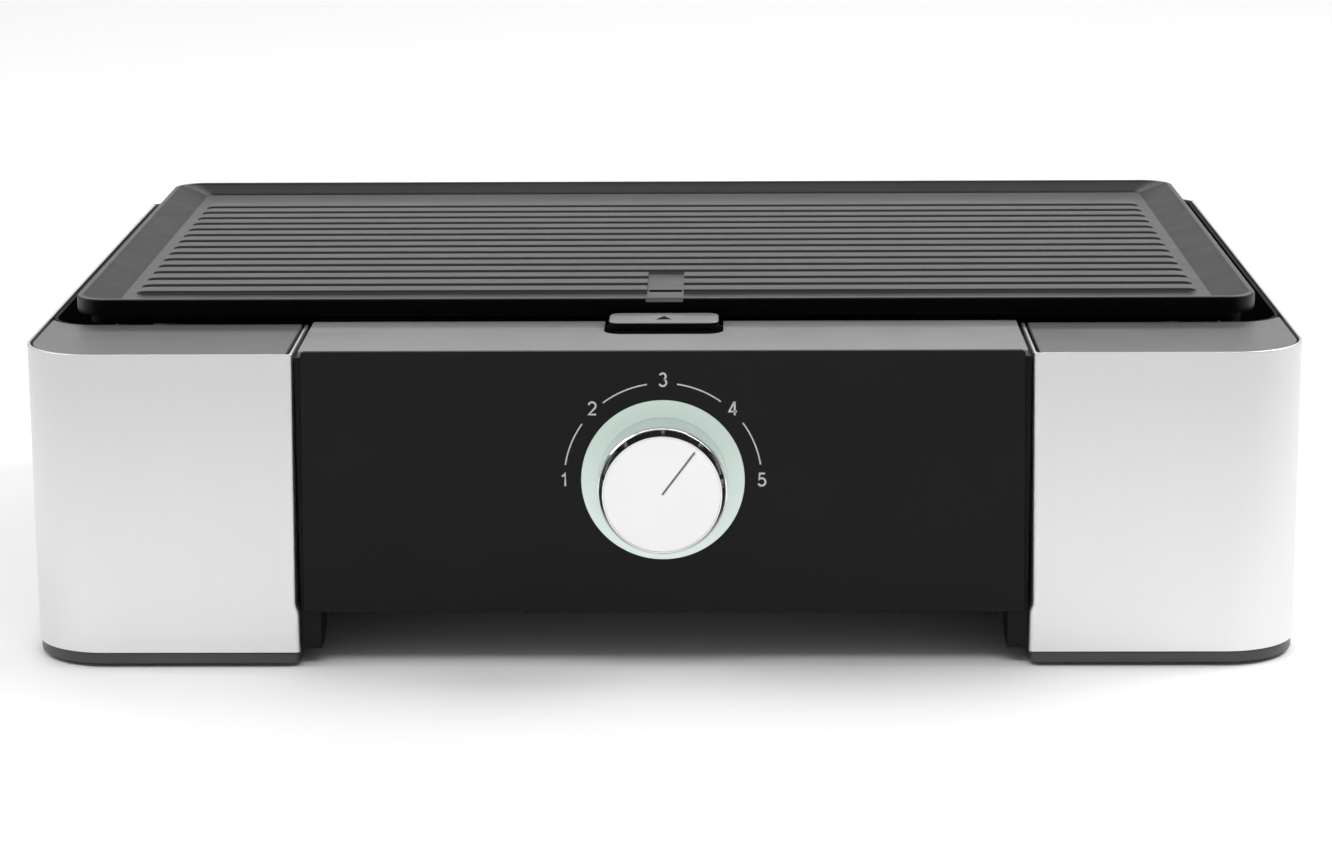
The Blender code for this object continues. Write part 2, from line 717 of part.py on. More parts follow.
def make_heater():
    """The tubular element, its two rests and the insulators on its ends."""
    tube("heating_element", routed(element_route()), ELEMENT_RADIUS, LOOKS["element"])
    rest_top = ELEMENT_Z - ELEMENT_RADIUS - GAP
    floor = REFLECTOR_FLOOR + REFLECTOR_SHEET + GAP
    strip = 1.2 * MM
    near = 124 * MM
    far = 312 * MM
    line = [(near, floor), (near + 9 * MM, floor), (near + 9 * MM, rest_top - strip)]
    line += [(far - 9 * MM, rest_top - strip), (far - 9 * MM, floor), (far, floor)]
    line += [(far, floor + strip), (far - 9 * MM + strip, floor + strip)]
    line += [(far - 9 * MM + strip, rest_top), (near + 9 * MM - strip, rest_top)]
    line += [(near + 9 * MM - strip, floor + strip), (near, floor + strip)]
    loop = [(at_depth(depth), up) for depth, up in line]
    for name, middle in (("left", -150 * MM), ("right", 120 * MM)):
        span = (middle - 6 * MM, middle + 6 * MM)
        outline(name + "_element_rest", [loop], *span, LOOKS["bright"], "YZ")
    for place, depth in (("front", ELEMENT_RUNS[0]), ("rear", ELEMENT_RUNS[-1])):
        collar = TUB_FLOOR + GAP
        bore = ELEMENT_RADIUS + GAP
        profile = [(7 * MM, 107 * MM), (7 * MM, collar + 2.4 * MM), (9.5 * MM, collar + 2.4 * MM)]
        profile += [(9.5 * MM, collar), (7 * MM, collar), (7 * MM, 94 * MM)]
        profile += [(bore, 94 * MM), (bore, 107 * MM)]
        at = (ELEMENT_DROP_X, at_depth(depth), 0.0)
        turned(place + "_terminal_insulator", profile, at, LOOKS["ceramic"], steps=20)


def rib_loops():
    """The section of each rib across the plate."""
    sink = 0.6 * MM
    crown = PLATE_FLOOR + RIB_HEIGHT
    shoulder = crown - 0.5 * MM
    loops = []
    for index in range(RIB_COUNT):
        middle = at_depth(RIB_FIRST + index * RIB_PITCH)
        foot = RIB_FOOT
        edge = RIB_FOOT - 0.5 * MM
        flat = RIB_FOOT - 1.6 * MM
        loop = [(middle - foot, PLATE_FLOOR - sink), (middle + foot, PLATE_FLOOR - sink)]
        loop += [(middle + edge, shoulder), (middle + flat, crown)]
        loop += [(middle - flat, crown), (middle - edge, shoulder)]
        loops.append(loop)
    return loops


def plate_ring(inset, radius, height):
    """One level of the plate's outline."""
    low = (inset - PLATE_HALF, at_depth(PLATE_FRONT + inset))
    high = (PLATE_HALF - inset, at_depth(PLATE_BACK - inset))
    return [(across, along, height) for across, along in rectangle(low, high, radius, 5)]


def make_plate():
    """The cast plate: a rim, a sloping inside, ribs, a drain and four feet."""
    rings = [
        plate_ring(1.4 * MM, PLATE_CORNER - 1.4 * MM, PLATE_UNDER),
        plate_ring(0.0, PLATE_CORNER, PLATE_UNDER + 1.6 * MM),
        plate_ring(0.0, PLATE_CORNER, PLATE_TOP - 1.2 * MM),
        plate_ring(0.9 * MM, PLATE_CORNER - 0.9 * MM, PLATE_TOP),
    ]
    plate = loft("grill_plate", rings, LOOKS["cast"])
    lip = PLATE_CORNER - RIM_FLAT
    foot = RIM_FLAT + RIM_SLOPE
    rise = PLATE_TOP - PLATE_FLOOR
    above = RIM_FLAT - RIM_SLOPE * 2 * MM / rise
    basin = [
        plate_ring(foot, 5 * MM, PLATE_FLOOR),
        plate_ring(RIM_FLAT, lip, PLATE_TOP),
        plate_ring(above, lip, PLATE_TOP + 2 * MM),
    ]
    cut(plate, loft("plate_basin", basin))
    join(plate, outline("ribs", rib_loops(), -RIB_HALF, RIB_HALF, plane="YZ"))
    near = PLATE_FRONT + RIM_FLAT
    low = (-CHANNEL_HALF, at_depth(near), PLATE_FLOOR)
    high = (CHANNEL_HALF, at_depth(RIB_FIRST + 2.5 * RIB_PITCH), PLATE_TOP + 5 * MM)
    cut(plate, box("drain_channel", low, high))
    low = (-SLOT_HALF, at_depth(SLOT_DEPTHS[0]), PLATE_UNDER - 5 * MM)
    high = (SLOT_HALF, at_depth(SLOT_DEPTHS[1]), PLATE_TOP + 5 * MM)
    cut(plate, box("drain_slot", low, high))
    wedge = [(60 * MM, 133.2 * MM), (67.2 * MM, 136.2 * MM), (60 * MM, 140 * MM)]
    loop = [(at_depth(depth), up) for depth, up in wedge]
    cut(plate, outline("rim_notch", [loop], -CHANNEL_HALF, CHANNEL_HALF, plane="YZ"))
    skirt = []
    for inset, radius in ((SKIRT_INSET, 8 * MM), (SKIRT_INSET + SKIRT_THICK, 5.5 * MM)):
        ring = plate_ring(inset, radius, 0.0)
        skirt.append([(across, along) for across, along, _ in ring])
    join(plate, outline("plate_skirt", skirt, SKIRT_LOW, PLATE_UNDER + 0.8 * MM))
    low = (-20.5 * MM, at_depth(PLATE_FRONT), SKIRT_LOW - 1 * MM)
    high = (20.5 * MM, at_depth(PLATE_FRONT + 12 * MM), PLATE_UNDER)
    cut(plate, box("tongue_notch", low, high))
    for name, side in SIDES:
        for place, depth in zip(("front", "rear"), PLATE_FOOT_DEPTHS):
            foot = Vector((side * FOOT_X, at_depth(depth), POST_TOP + GAP))
            top = Vector((foot.x, foot.y, PLATE_UNDER + 1 * MM))
            label = place + "_" + name + "_plate_foot"
            join(plate, rod(label, foot, top, FOOT_RADIUS, segments=12))
    middle = (PLATE_FRONT + PLATE_BACK) / 2
    hang([plate], empty("plate_lift", (0, at_depth(middle), PLATE_UNDER)))


def make_tray():
    """The grease tray under the drain, and the grip that it is lifted by."""
    low = (-TRAY_HALF, at_depth(TRAY_FRONT))
    high = (TRAY_HALF, at_depth(TRAY_BACK))
    loop = rectangle(low, high, 6 * MM)
    tray = outline("drip_tray", [loop], TRAY_LOW, TRAY_TOP, LOOKS["tray"])
    tongue_low = (-19 * MM, at_depth(46 * MM), TRAY_TOP - 1.2 * MM)
    tongue_high = (19 * MM, at_depth(TRAY_FRONT + 4 * MM), TRAY_TOP + 2.4 * MM)
    join(tray, box("tray_tongue", tongue_low, tongue_high))
    inner_low = (low[0] + TRAY_WALL, low[1] + TRAY_WALL)
    inner_high = (high[0] - TRAY_WALL, high[1] - TRAY_WALL)
    inner = rectangle(inner_low, inner_high, 6 * MM - TRAY_WALL)
    cut(tray, outline("tray_hollow", [inner], TRAY_LOW + TRAY_WALL, TRAY_TOP + 5 * MM))
    grip_low = (-GRIP_HALF, at_depth(GRIP_FRONT))
    grip_loop = rectangle(grip_low, (GRIP_HALF, at_depth(GRIP_BACK)), 4.5 * MM)
    under = TRAY_TOP + 2.4 * MM + GAP
    grip = outline("tray_grip", [grip_loop], under, GRIP_TOP, LOOKS["deck"])
    hang([tray, grip], empty("tray_lift", (0, at_depth(TRAY_FRONT), TRAY_TOP)))


def make_probe():
    """The sprung probe that touches the plate's underside, through the reflector and floor."""
    top = PLATE_UNDER - GAP
    stem_end = 94 * MM
    place = (0.0, at_depth(PROBE_DEPTH), 0.0)
    profile = [(0.0, top), (7 * MM, top), (8 * MM, top - 1 * MM), (8 * MM, top - 2.4 * MM)]
    profile += [(2.6 * MM, top - 2.4 * MM), (2.6 * MM, stem_end), (0.0, stem_end)]
    cap = turned("probe_cap", profile, place, LOOKS["bright"], steps=16)
    clip_top = TUB_UNDER - GAP
    clip = [(5.5 * MM, clip_top), (5.5 * MM, clip_top - 1 * MM)]
    clip += [(2.9 * MM, clip_top - 1 * MM), (2.9 * MM, clip_top)]
    clip_ring = turned("probe_clip", clip, place, LOOKS["screw"], steps=16)
    wire = 0.45 * MM
    low = REFLECTOR_FLOOR + REFLECTOR_SHEET + GAP + wire
    high = top - 2.4 * MM - GAP - wire
    turns = 5
    steps = turns * 8
    coil = []
    for step in range(steps + 1):
        angle = TURN * turns * step / steps
        up = low + (high - low) * step / steps
        coil.append((5 * MM * math.cos(angle), place[1] + 5 * MM * math.sin(angle), up))
    spring = tube("probe_spring", coil, wire, LOOKS["screw"], fineness=1)
    hang([cap, clip_ring, spring], empty("probe_press", (0, place[1], top)))


def make_dial():
    """The light ring and everything that turns with the knob."""
    centre = (0.0, at_depth(0.0), DIAL_Z)
    lip = 0.7 * MM
    seat = -FASCIA_FRONT + GAP
    back = -7 * MM
    web = -5.4 * MM
    throat = KNOB_RADIUS + 0.7 * MM
    ring = [(RING_RADIUS, lip - 0.6 * MM), (RING_RADIUS, seat), (RING_RADIUS - 1.6 * MM, seat)]
    ring += [(RING_RADIUS - 1.6 * MM, back), (SHAFT_RADIUS + 1 * MM, back)]
    ring += [(SHAFT_RADIUS + 1 * MM, web), (throat, web), (throat, lip - 0.6 * MM)]
    ring += [(throat + 0.6 * MM, lip), (RING_RADIUS - 0.6 * MM, lip)]
    turned("light_ring", ring, centre, LOOKS["light"], steps=36, forward=True)

    face = KNOB_REACH
    skirt = -4.6 * MM
    recess = face - 1.2 * MM
    bore = SHAFT_RADIUS + GAP
    hub = 7 * MM
    ceiling = face - 4 * MM
    socket = face - 8 * MM
    rim = CAP_RADIUS + GAP
    groove_floor = KNOB_RADIUS - 0.5 * MM
    body = [(0.0, recess), (rim, recess), (rim, face), (rim + 0.6 * MM, face)]
    body += [(KNOB_RADIUS - 1 * MM, face - 5.3 * MM), (KNOB_RADIUS - 0.1 * MM, face - 6 * MM)]
    body += [(KNOB_RADIUS - 0.1 * MM, face - 6.3 * MM), (groove_floor, face - 6.4 * MM)]
    body += [(groove_floor, face - 6.8 * MM), (KNOB_RADIUS, face - 6.9 * MM)]
    body += [(KNOB_RADIUS, skirt), (KNOB_RADIUS - 2 * MM, skirt)]
    body += [(KNOB_RADIUS - 2 * MM, ceiling), (hub, ceiling), (hub, 0.0), (bore, 0.0)]
    body += [(bore, socket), (0.0, socket)]
    knob = turned("knob_body", body, centre, LOOKS["chrome"], steps=32, forward=True)
    thick = 0.8 * MM
    disc = [(0.0, recess + GAP + thick), (CAP_RADIUS, recess + GAP + thick)]
    disc += [(CAP_RADIUS, recess + GAP), (0.0, recess + GAP)]
    cap = turned("knob_cap", disc, centre, LOOKS["satin_face"], steps=32, forward=True)
    pointer_seat = at_depth(-(recess + GAP + thick))
    groove_low = (-0.6 * MM, -1 * MM, -0.5 * MM)
    groove_high = (0.6 * MM, 0.5 * MM, 21.4 * MM)
    groove = box("pointer_groove", groove_low, groove_high)
    line = box("pointer_line", (-0.35 * MM, 0, 0), (0.35 * MM, 0.35 * MM, 21 * MM), LOOKS["ink"])
    for piece, deep in ((groove, 0.0), (line, 0.1 * MM)):
        turn = Matrix.Rotation(POINTER_ANGLE, 4, "Y")
        spot = Matrix.Translation((0, pointer_seat + deep, DIAL_Z))
        piece.matrix_world = spot @ turn @ Matrix.Translation(piece.location)
    cut(cap, groove)
    shaft = rod(
        "thermostat_shaft",
        (0, at_depth(GAP - socket), DIAL_Z),
        (0, at_depth(24 * MM), DIAL_Z),
        SHAFT_RADIUS,
        LOOKS["screw"],
    )
    hang([knob, cap, line, groove, shaft], empty("knob_axis", centre))


def make_thermostat():
    """The thermostat behind the dial, its bracket and screws, and the ring's lamp board."""
    plate_near = at_depth(11.3 * MM)
    plate_far = at_depth(12.5 * MM)
    low = (-BRACKET_HALF, DIAL_Z - BRACKET_HALF)
    high = (BRACKET_HALF, DIAL_Z + BRACKET_HALF)
    loops = [rectangle(low, high, 3 * MM, 2), circle((0, DIAL_Z), 5.6 * MM)]
    for side in (-1, 1):
        spot = (side * BRACKET_SCREW, DIAL_Z - BRACKET_SCREW)
        loops.append(circle(spot, 1.9 * MM, 12))
    outline("thermostat_bracket", loops, plate_near, plate_far, LOOKS["screw"], "XZ")
    for name, side in SIDES:
        seat = (side * BRACKET_SCREW, plate_far, DIAL_Z - BRACKET_SCREW)
        screw(name + "_bracket_screw", seat, Vector((0, 1, 0)), 7 * MM)

    body = box(
        "thermostat_body",
        (-17 * MM, at_depth(12.8 * MM), DIAL_Z - 15 * MM),
        (17 * MM, at_depth(38 * MM), DIAL_Z + 15 * MM),
        LOOKS["ceramic"],
    )
    collar_end = (0, at_depth(9.8 * MM), DIAL_Z)
    join(body, rod("thermostat_collar", collar_end, (0, at_depth(14 * MM), DIAL_Z), 5.2 * MM))
    for name, side in SIDES:
        low = (side * 9 * MM - 3 * MM, at_depth(37 * MM), DIAL_Z - 0.5 * MM)
        high = (side * 9 * MM + 3 * MM, at_depth(46 * MM), DIAL_Z + 0.5 * MM)
        join(body, box(name + "_spade", low, high))
    well_foot = (0, at_depth(5 * MM), DIAL_Z)
    cut(body, rod("shaft_well", well_foot, (0, at_depth(26 * MM), DIAL_Z), 3.5 * MM))

    board = [(28 * MM, -7.4 * MM), (28 * MM, -9 * MM), (6 * MM, -9 * MM), (6 * MM, -7.4 * MM)]
    turned("led_board", board, (0.0, at_depth(0.0), DIAL_Z), LOOKS["board"], 20, forward=True)


def make_inlet():
    """The mains inlet in the back panel, with its three pins."""
    centre = (INLET_X, INLET_Z)
    reach = (15.6 * MM, 11.7 * MM)
    housing = block("inlet_housing", centre, reach, (334 * MM, 359 * MM), LOOKS["black_plastic"])
    flange = block("inlet_flange", centre, (25.7 * MM, 14.7 * MM), (358.6 * MM, DEPTH))
    join(housing, flange)
    hollow = block("inlet_hollow", centre, (13 * MM, 8.5 * MM), (341 * MM, DEPTH + 5 * MM))
    cut(housing, hollow)
    half = (1.1 * MM, 2 * MM)
    room = (half[0] + GAP, half[1] + GAP)
    for name, across, up in (("earth_pin", 0, 3.4), ("live_pin", -7, -2), ("neutral_pin", 7, -2)):
        middle = (INLET_X + across * MM, INLET_Z + up * MM)
        cut(housing, block(name + "_hole", middle, room, (330 * MM, 343 * MM)))
        block(name, middle, half, (328 * MM, 356 * MM), LOOKS["brass"])


def make_wiring():
    """The terminal block, the thermal cut-out and the wires between them."""
    low = (38 * MM, at_depth(276 * MM), BELLY_TOP + GAP)
    high = (80 * MM, at_depth(296 * MM), BELLY_TOP + 17 * MM)
    block = box("terminal_block", low, high, LOOKS["ceramic"])
    wells = (("live", 46 * MM), ("middle", 59 * MM), ("neutral", 72 * MM))
    for name, across in wells:
        foot = Vector((across, at_depth(286 * MM), BELLY_TOP + 8 * MM))
        cut(block, rod(name + "_screw_well", foot, foot + Vector((0, 0, 15 * MM)), 3 * MM))
    fuse_foot = Vector((146 * MM, at_depth(268 * MM), TUB_UNDER - 4.3 * MM))
    rod("thermal_fuse", fuse_foot, fuse_foot + Vector((22 * MM, 0, 0)), 4 * MM, LOOKS["screw"])
    wire = 1.3 * MM
    routes = {
        "live_wire": (
            (89, 327, 58), (89, 321, 57), (72, 306, 40), (46, 301, 33), (46, 297, 33)
        ),
        "neutral_wire": (
            (103, 327, 58), (103, 321, 57), (92, 306, 40), (72, 301, 33), (72, 297, 33)
        ),
        "earth_wire": (
            (96, 327, 63.4), (96, 321, 64), (108, 312, 78), (130, 304, 86), (139, 304, 88)
        ),
        "thermostat_wire": (
            (46, 275, 33), (46, 268, 33), (30, 200, 30), (-18, 110, 32),
            (-26, 66, 52), (-9, 54, 72), (-9, 50, 75.6), (-9, 46.6, 75.6)
        ),
        "element_wire": (
            (9, 46.6, 75.6), (9, 50, 75.6), (16, 56, 74), (60, 58, 62), (122, 62, 62),
            (133, 90, 68), (138, 118, 74), (160, 128, 76), (196, 135, 82), (205, 135, 91)
        ),
        "fuse_wire": (
            (72, 275, 33), (72, 268, 33), (104, 258, 60), (128, 266, 90), (145.6, 268, 97)
        ),
        "return_wire": ((168.4, 268, 97), (178, 270, 95), (196, 292, 82), (205, 300, 91)),
    }
    for name, route in routes.items():
        points = [Vector((x * MM, at_depth(depth * MM), z * MM)) for x, depth, z in route]
        tube(name, flowing(points), wire, LOOKS["wire"], fineness=1)


def cut_wire_passages():
    """Holes in the right inner wall where the wires go through to the element."""
    wall = bpy.data.objects["right_inner_wall"]
    for name, depth, up in (("front_pass", 120 * MM, 74 * MM), ("rear_pass", 268 * MM, 90 * MM)):
        low = (138 * MM, at_depth(depth - 9 * MM), up - 8 * MM)
        high = (146 * MM, at_depth(depth + 9 * MM), up + 8 * MM)
        cut(wall, box(name, low, high))


for leftover in list(bpy.data.objects):
    bpy.data.objects.remove(leftover, do_unlink=True)

PARTS = bpy.data.collections.new("electric_griddle")
CUTTERS = bpy.data.collections.new("electric_griddle_cutters")
bpy.context.scene.collection.children.link(PARTS)
bpy.context.scene.collection.children.link(CUTTERS)
SIDES = (("left", -1), ("right", 1))
LOOKS = {
    "steel": finish("brushed_steel", (0.70, 0.70, 0.70), 0.32, 1.0),
    "deck": finish("satin_black_plastic", (0.055, 0.055, 0.058), 0.3),
    "gloss_black": finish("gloss_black_plastic", (0.012, 0.012, 0.013), 0.16),
    "black_plastic": finish("black_plastic", (0.02, 0.02, 0.021), 0.5),
    "trim": finish("trim_plastic", (0.025, 0.025, 0.026), 0.42),
    "rubber": finish("black_rubber", (0.015, 0.015, 0.015), 0.8),
    "well": finish("well_enamel", (0.008, 0.008, 0.008), 0.55),
    "cast": finish("coated_cast_aluminium", (0.075, 0.076, 0.078), 0.5, 0.2),
    "tray": finish("coated_steel_tray", (0.05, 0.05, 0.05), 0.4, 0.5),
    "bright": finish("bright_sheet", (0.75, 0.75, 0.75), 0.25, 1.0),
    "element": finish("element_sheath", (0.12, 0.11, 0.10), 0.5, 0.8),
    "ceramic": finish("ceramic", (0.80, 0.78, 0.72), 0.6),
    "light": finish("frosted_light_ring", (0.55, 0.70, 0.62), 0.4),
    "chrome": finish("chrome", (0.80, 0.80, 0.80), 0.08, 1.0),
    "satin_face": finish("satin_aluminium_face", (0.90, 0.90, 0.90), 0.25, 0.9),
    "ink": finish("pointer_ink", (0.03, 0.03, 0.03), 0.5),
    "screw": finish("zinc_steel", (0.55, 0.55, 0.56), 0.35, 1.0),
    "board": finish("circuit_board", (0.05, 0.20, 0.10), 0.5),
    "brass": finish("brass", (0.75, 0.58, 0.28), 0.3, 1.0),
    "wire": finish("wire_sleeve", (0.62, 0.60, 0.56), 0.7),
}

make_shells()
make_decks()
make_centre_deck()
make_inner_walls()
make_base_trims()
make_fascia()
make_rear_panel()
make_belly_pan()
make_well_tub()
make_reflector()
make_heater()
make_plate()
make_tray()
make_probe()
make_dial()
make_thermostat()
make_inlet()
make_wiring()
cut_wire_passages()
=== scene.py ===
"""Electric griddle: the visible finish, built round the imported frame. Metres, +Z up, front at -Y."""

import json
import math

import bmesh
import bpy
from mathutils import Matrix, Vector

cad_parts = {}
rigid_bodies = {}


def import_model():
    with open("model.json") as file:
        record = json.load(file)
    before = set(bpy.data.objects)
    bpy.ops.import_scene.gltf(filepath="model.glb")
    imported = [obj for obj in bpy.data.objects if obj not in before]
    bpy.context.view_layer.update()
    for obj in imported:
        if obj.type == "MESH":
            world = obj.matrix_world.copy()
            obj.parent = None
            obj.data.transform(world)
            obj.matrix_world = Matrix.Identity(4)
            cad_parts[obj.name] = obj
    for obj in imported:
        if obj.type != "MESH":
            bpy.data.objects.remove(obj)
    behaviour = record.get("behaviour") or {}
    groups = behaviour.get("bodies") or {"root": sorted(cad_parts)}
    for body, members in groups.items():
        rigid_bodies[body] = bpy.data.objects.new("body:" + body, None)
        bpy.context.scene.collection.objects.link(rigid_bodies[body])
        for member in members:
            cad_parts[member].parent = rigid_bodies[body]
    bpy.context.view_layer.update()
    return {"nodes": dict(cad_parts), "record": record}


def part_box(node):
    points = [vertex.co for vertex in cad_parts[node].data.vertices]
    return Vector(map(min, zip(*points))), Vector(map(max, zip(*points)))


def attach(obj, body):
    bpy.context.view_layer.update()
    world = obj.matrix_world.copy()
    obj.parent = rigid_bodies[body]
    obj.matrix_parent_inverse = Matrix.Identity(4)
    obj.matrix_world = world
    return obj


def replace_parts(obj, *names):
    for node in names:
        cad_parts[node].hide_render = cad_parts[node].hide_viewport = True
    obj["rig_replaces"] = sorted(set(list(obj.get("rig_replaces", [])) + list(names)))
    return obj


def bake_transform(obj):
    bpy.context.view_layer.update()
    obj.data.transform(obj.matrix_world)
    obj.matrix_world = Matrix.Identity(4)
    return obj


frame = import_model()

MM = 0.001
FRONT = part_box("left_shell")[0].y
RECORD = frame["record"]
BODY_OF = {n: b for b, nodes in RECORD["behaviour"]["bodies"].items() for n in nodes}
SLOT_OF = {part["node"]: part["material_slot"] for part in RECORD["subparts"]}
DIAL_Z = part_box("light_ring")[0].z / 2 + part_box("light_ring")[1].z / 2
SIDES = (("left", -1), ("right", 1))

# What several pieces share: depths and sizes in millimetres, then the pointer's turn in degrees
# and the number of steps round the dial.
FASCIA_FACE = 0.8
DECK_THICK = 2.4
DECK_FAR = 61.9
KNOB_REACH = 24.0
POINTER_TURN = 37
DIAL_STEPS = 160


# ---------------------------------------------------------------- camera

def make_camera():
    """A long lens a little right of centre, looking down by about 13 degrees."""
    yaw = math.radians(0.8314)
    pitch = math.radians(12.915)
    roll = math.radians(-0.318)
    ahead = Vector((-math.sin(yaw) * math.cos(pitch), math.cos(yaw) * math.cos(pitch), -math.sin(pitch)))
    right = Vector((math.cos(yaw), math.sin(yaw), 0.0))
    up = right.cross(ahead)
    right_rolled = right * math.cos(roll) + up * math.sin(roll)
    up_rolled = up * math.cos(roll) - right * math.sin(roll)
    turn = Matrix((right_rolled, up_rolled, -ahead)).transposed().to_4x4()
    eye = (0.02098, -1.52307, 0.40989)
    data = bpy.data.cameras.new("camera")
    data.lens = 97.297
    data.sensor_width = 36.0
    data.clip_end = 60.0
    camera = bpy.data.objects.new("camera", data)
    camera.matrix_world = Matrix.Translation(eye) @ turn
    bpy.context.scene.collection.objects.link(camera)
    bpy.context.scene.camera = camera


# ---------------------------------------------------------------- materials

class Look:
    """A node material under construction: object coordinates, noises and one Principled shader."""

    def __init__(self, name, roughness, metallic=0.0, specular=0.5, **uniform):
        self.material = bpy.data.materials.new(name)
        self.material.use_nodes = True
        self.tree = self.material.node_tree
        self.shader = self.tree.nodes["Principled BSDF"]
        self.shader.inputs["Roughness"].default_value = roughness
        self.shader.inputs["Metallic"].default_value = metallic
        self.shader.inputs["Specular IOR Level"].default_value = specular
        for socket, value in uniform.items():
            self.shader.inputs[socket.replace("_", " ")].default_value = value
        self.place = self.tree.nodes.new("ShaderNodeTexCoord").outputs["Object"]

    def noise(self, scale, detail=4.0, stretch=(1, 1, 1), roughness=0.55):
        """Noise over the object, in features per metre."""
        mapping = self.tree.nodes.new("ShaderNodeMapping")
        mapping.inputs["Scale"].default_value = stretch
        self.tree.links.new(self.place, mapping.inputs["Vector"])
        noise = self.tree.nodes.new("ShaderNodeTexNoise")
        noise.inputs["Scale"].default_value = scale
        noise.inputs["Detail"].default_value = detail
        noise.inputs["Roughness"].default_value = roughness
        self.tree.links.new(mapping.outputs["Vector"], noise.inputs["Vector"])
        return noise.outputs["Fac"]

    def span(self, source, low, high, start=0.3, end=0.7):
        """Maps a noise onto a range of numbers."""
        node = self.tree.nodes.new("ShaderNodeMapRange")
        node.inputs["From Min"].default_value = start
        node.inputs["From Max"].default_value = end
        node.inputs["To Min"].default_value = low
        node.inputs["To Max"].default_value = high
        self.tree.links.new(source, node.inputs["Value"])
        return node.outputs["Result"]

    def upward(self, source):
        """The height above the table in metres, raised by up to 10 mm by a noise."""
        parts = self.tree.nodes.new("ShaderNodeSeparateXYZ")
        self.tree.links.new(self.place, parts.inputs["Vector"])
        node = self.tree.nodes.new("ShaderNodeMath")
        node.operation = "MULTIPLY_ADD"
        node.inputs[1].default_value = 0.01
        self.tree.links.new(source, node.inputs[0])
        self.tree.links.new(parts.outputs["Z"], node.inputs[2])
        return node.outputs["Value"]

    def tint(self, source, first, second, start=0.3, end=0.7):
        """Blends two colours by a noise or a height, feeds the base colour and hands the blend on."""
        mix = self.tree.nodes.new("ShaderNodeMix")
        mix.data_type = "RGBA"
        mix.inputs["A"].default_value = (*first, 1.0)
        mix.inputs["B"].default_value = (*second, 1.0)
        self.tree.links.new(self.span(source, 0.0, 1.0, start, end), mix.inputs["Factor"])
        self.tree.links.new(mix.outputs["Result"], self.shader.inputs["Base Color"])
        return mix.outputs["Result"]

    def gloss(self, source, low, high):
        """Varies the roughness by a noise."""
        self.tree.links.new(self.span(source, low, high), self.shader.inputs["Roughness"])

    def bump(self, source, strength, distance=0.0001):
        """Raises the surface by a noise, for grain too small to model."""
        node = self.tree.nodes.new("ShaderNodeBump")
        node.inputs["Strength"].default_value = strength
        node.inputs["Distance"].default_value = distance
        self.tree.links.new(source, node.inputs["Height"])
        self.tree.links.new(node.outputs["Normal"], self.shader.inputs["Normal"])


def shade(colour, factor):
    """A colour made lighter or darker."""
    return tuple(min(1.0, part * factor) for part in colour)


def grained(name, colour, roughness, vary=0.12, grain=2500.0, strength=0.15, **more):
    """Moulded, painted or cast stock: slow colour drift, uneven gloss and fine grain."""
    look = Look(name, roughness, **more)
    drift = look.noise(14.0)
    fine = look.noise(grain, 3.0)
    look.tint(drift, shade(colour, 1 - vary), shade(colour, 1 + vary))
    look.gloss(look.noise(60.0), roughness * 0.9, roughness * 1.1)
    look.bump(fine, strength)
    return look.material


def brushed(name, colour, roughness, stretch, top_shade=0.0, **more):
    """Metal with a fine drawn grain along one direction; it may carry painted shade that darkens it towards
    its top.
    """
    look = Look(name, roughness, metallic=1.0, **more)
    lines = look.noise(1.0, 5.0, stretch, 0.7)
    if top_shade:
        # Painted shade: the colour darkens between 20 and 120 mm up, standing in for light falling off
        # towards the top.
        look.tint(look.upward(lines), colour, shade(colour, 1 - top_shade), 0.02, 0.12)
    else:
        look.tint(lines, shade(colour, 0.985), shade(colour, 1.01))
    streaks = look.noise(1.0, 3.0, tuple(part * 0.4 for part in stretch))
    look.gloss(streaks, roughness * 0.93, roughness * 1.07)
    look.bump(lines, 0.02, 0.00003)
    return look.material


LOOKS = {
    # The shell steel carries painted shade, darker towards its top.
    "brushed_steel": brushed("shell_steel_top_shade", (0.78, 0.78, 0.78), 0.38, (2600, 2600, 9), top_shade=0.2),
    "deck_plastic": grained("deck_moulding", (0.2, 0.2, 0.202), 0.42, vary=0.05, grain=3500.0, strength=0.06),
    # The side decks get a darker copy of the deck moulding: painted shade.
    "shaded_side_deck": grained("side_deck_shaded_moulding", (0.105, 0.105, 0.107), 0.42, vary=0.05, grain=3500.0,
                         strength=0.06),
    "gloss_black": grained("gloss_panel", (0.0075, 0.0075, 0.0077), 0.2, grain=1800.0, strength=0.01,
                           specular=0.1),
    "black_plastic": grained("black_moulding", (0.014, 0.014, 0.0145), 0.42, grain=1600.0),
    "trim_plastic": grained("trim_moulding", (0.045, 0.045, 0.0455), 0.38, grain=2200.0, strength=0.08),
    "rubber": grained("foot_rubber", (0.014, 0.014, 0.014), 0.78, grain=1200.0, strength=0.3),
    "well_enamel": grained("well_coating", (0.0025, 0.0025, 0.0025), 0.6, grain=2200.0, specular=0.06),
    "tray_metal": grained("tray_coating", (0.012, 0.012, 0.0125), 0.45, grain=2600.0, strength=0.12),
    "bright_sheet": brushed("rolled_sheet", (0.66, 0.66, 0.66), 0.3, (9, 1400, 1400)),
    "ceramic": grained("ceramic_white", (0.74, 0.72, 0.66), 0.55, vary=0.05, grain=900.0),
    "zinc_steel": brushed("zinc_plate", (0.52, 0.52, 0.54), 0.33, (500, 500, 500)),
    "circuit_board": grained("board_mask", (0.03, 0.14, 0.07), 0.4, grain=900.0),
    "brass": brushed("pin_brass", (0.72, 0.54, 0.26), 0.28, (900, 12, 900)),
    "wire_sleeve": grained("woven_sleeve", (0.58, 0.55, 0.50), 0.8, grain=1500.0, strength=0.6),
    "pointer_ink": grained("pointer_line_ink", (0.14, 0.14, 0.14), 0.5, grain=1200.0),
}


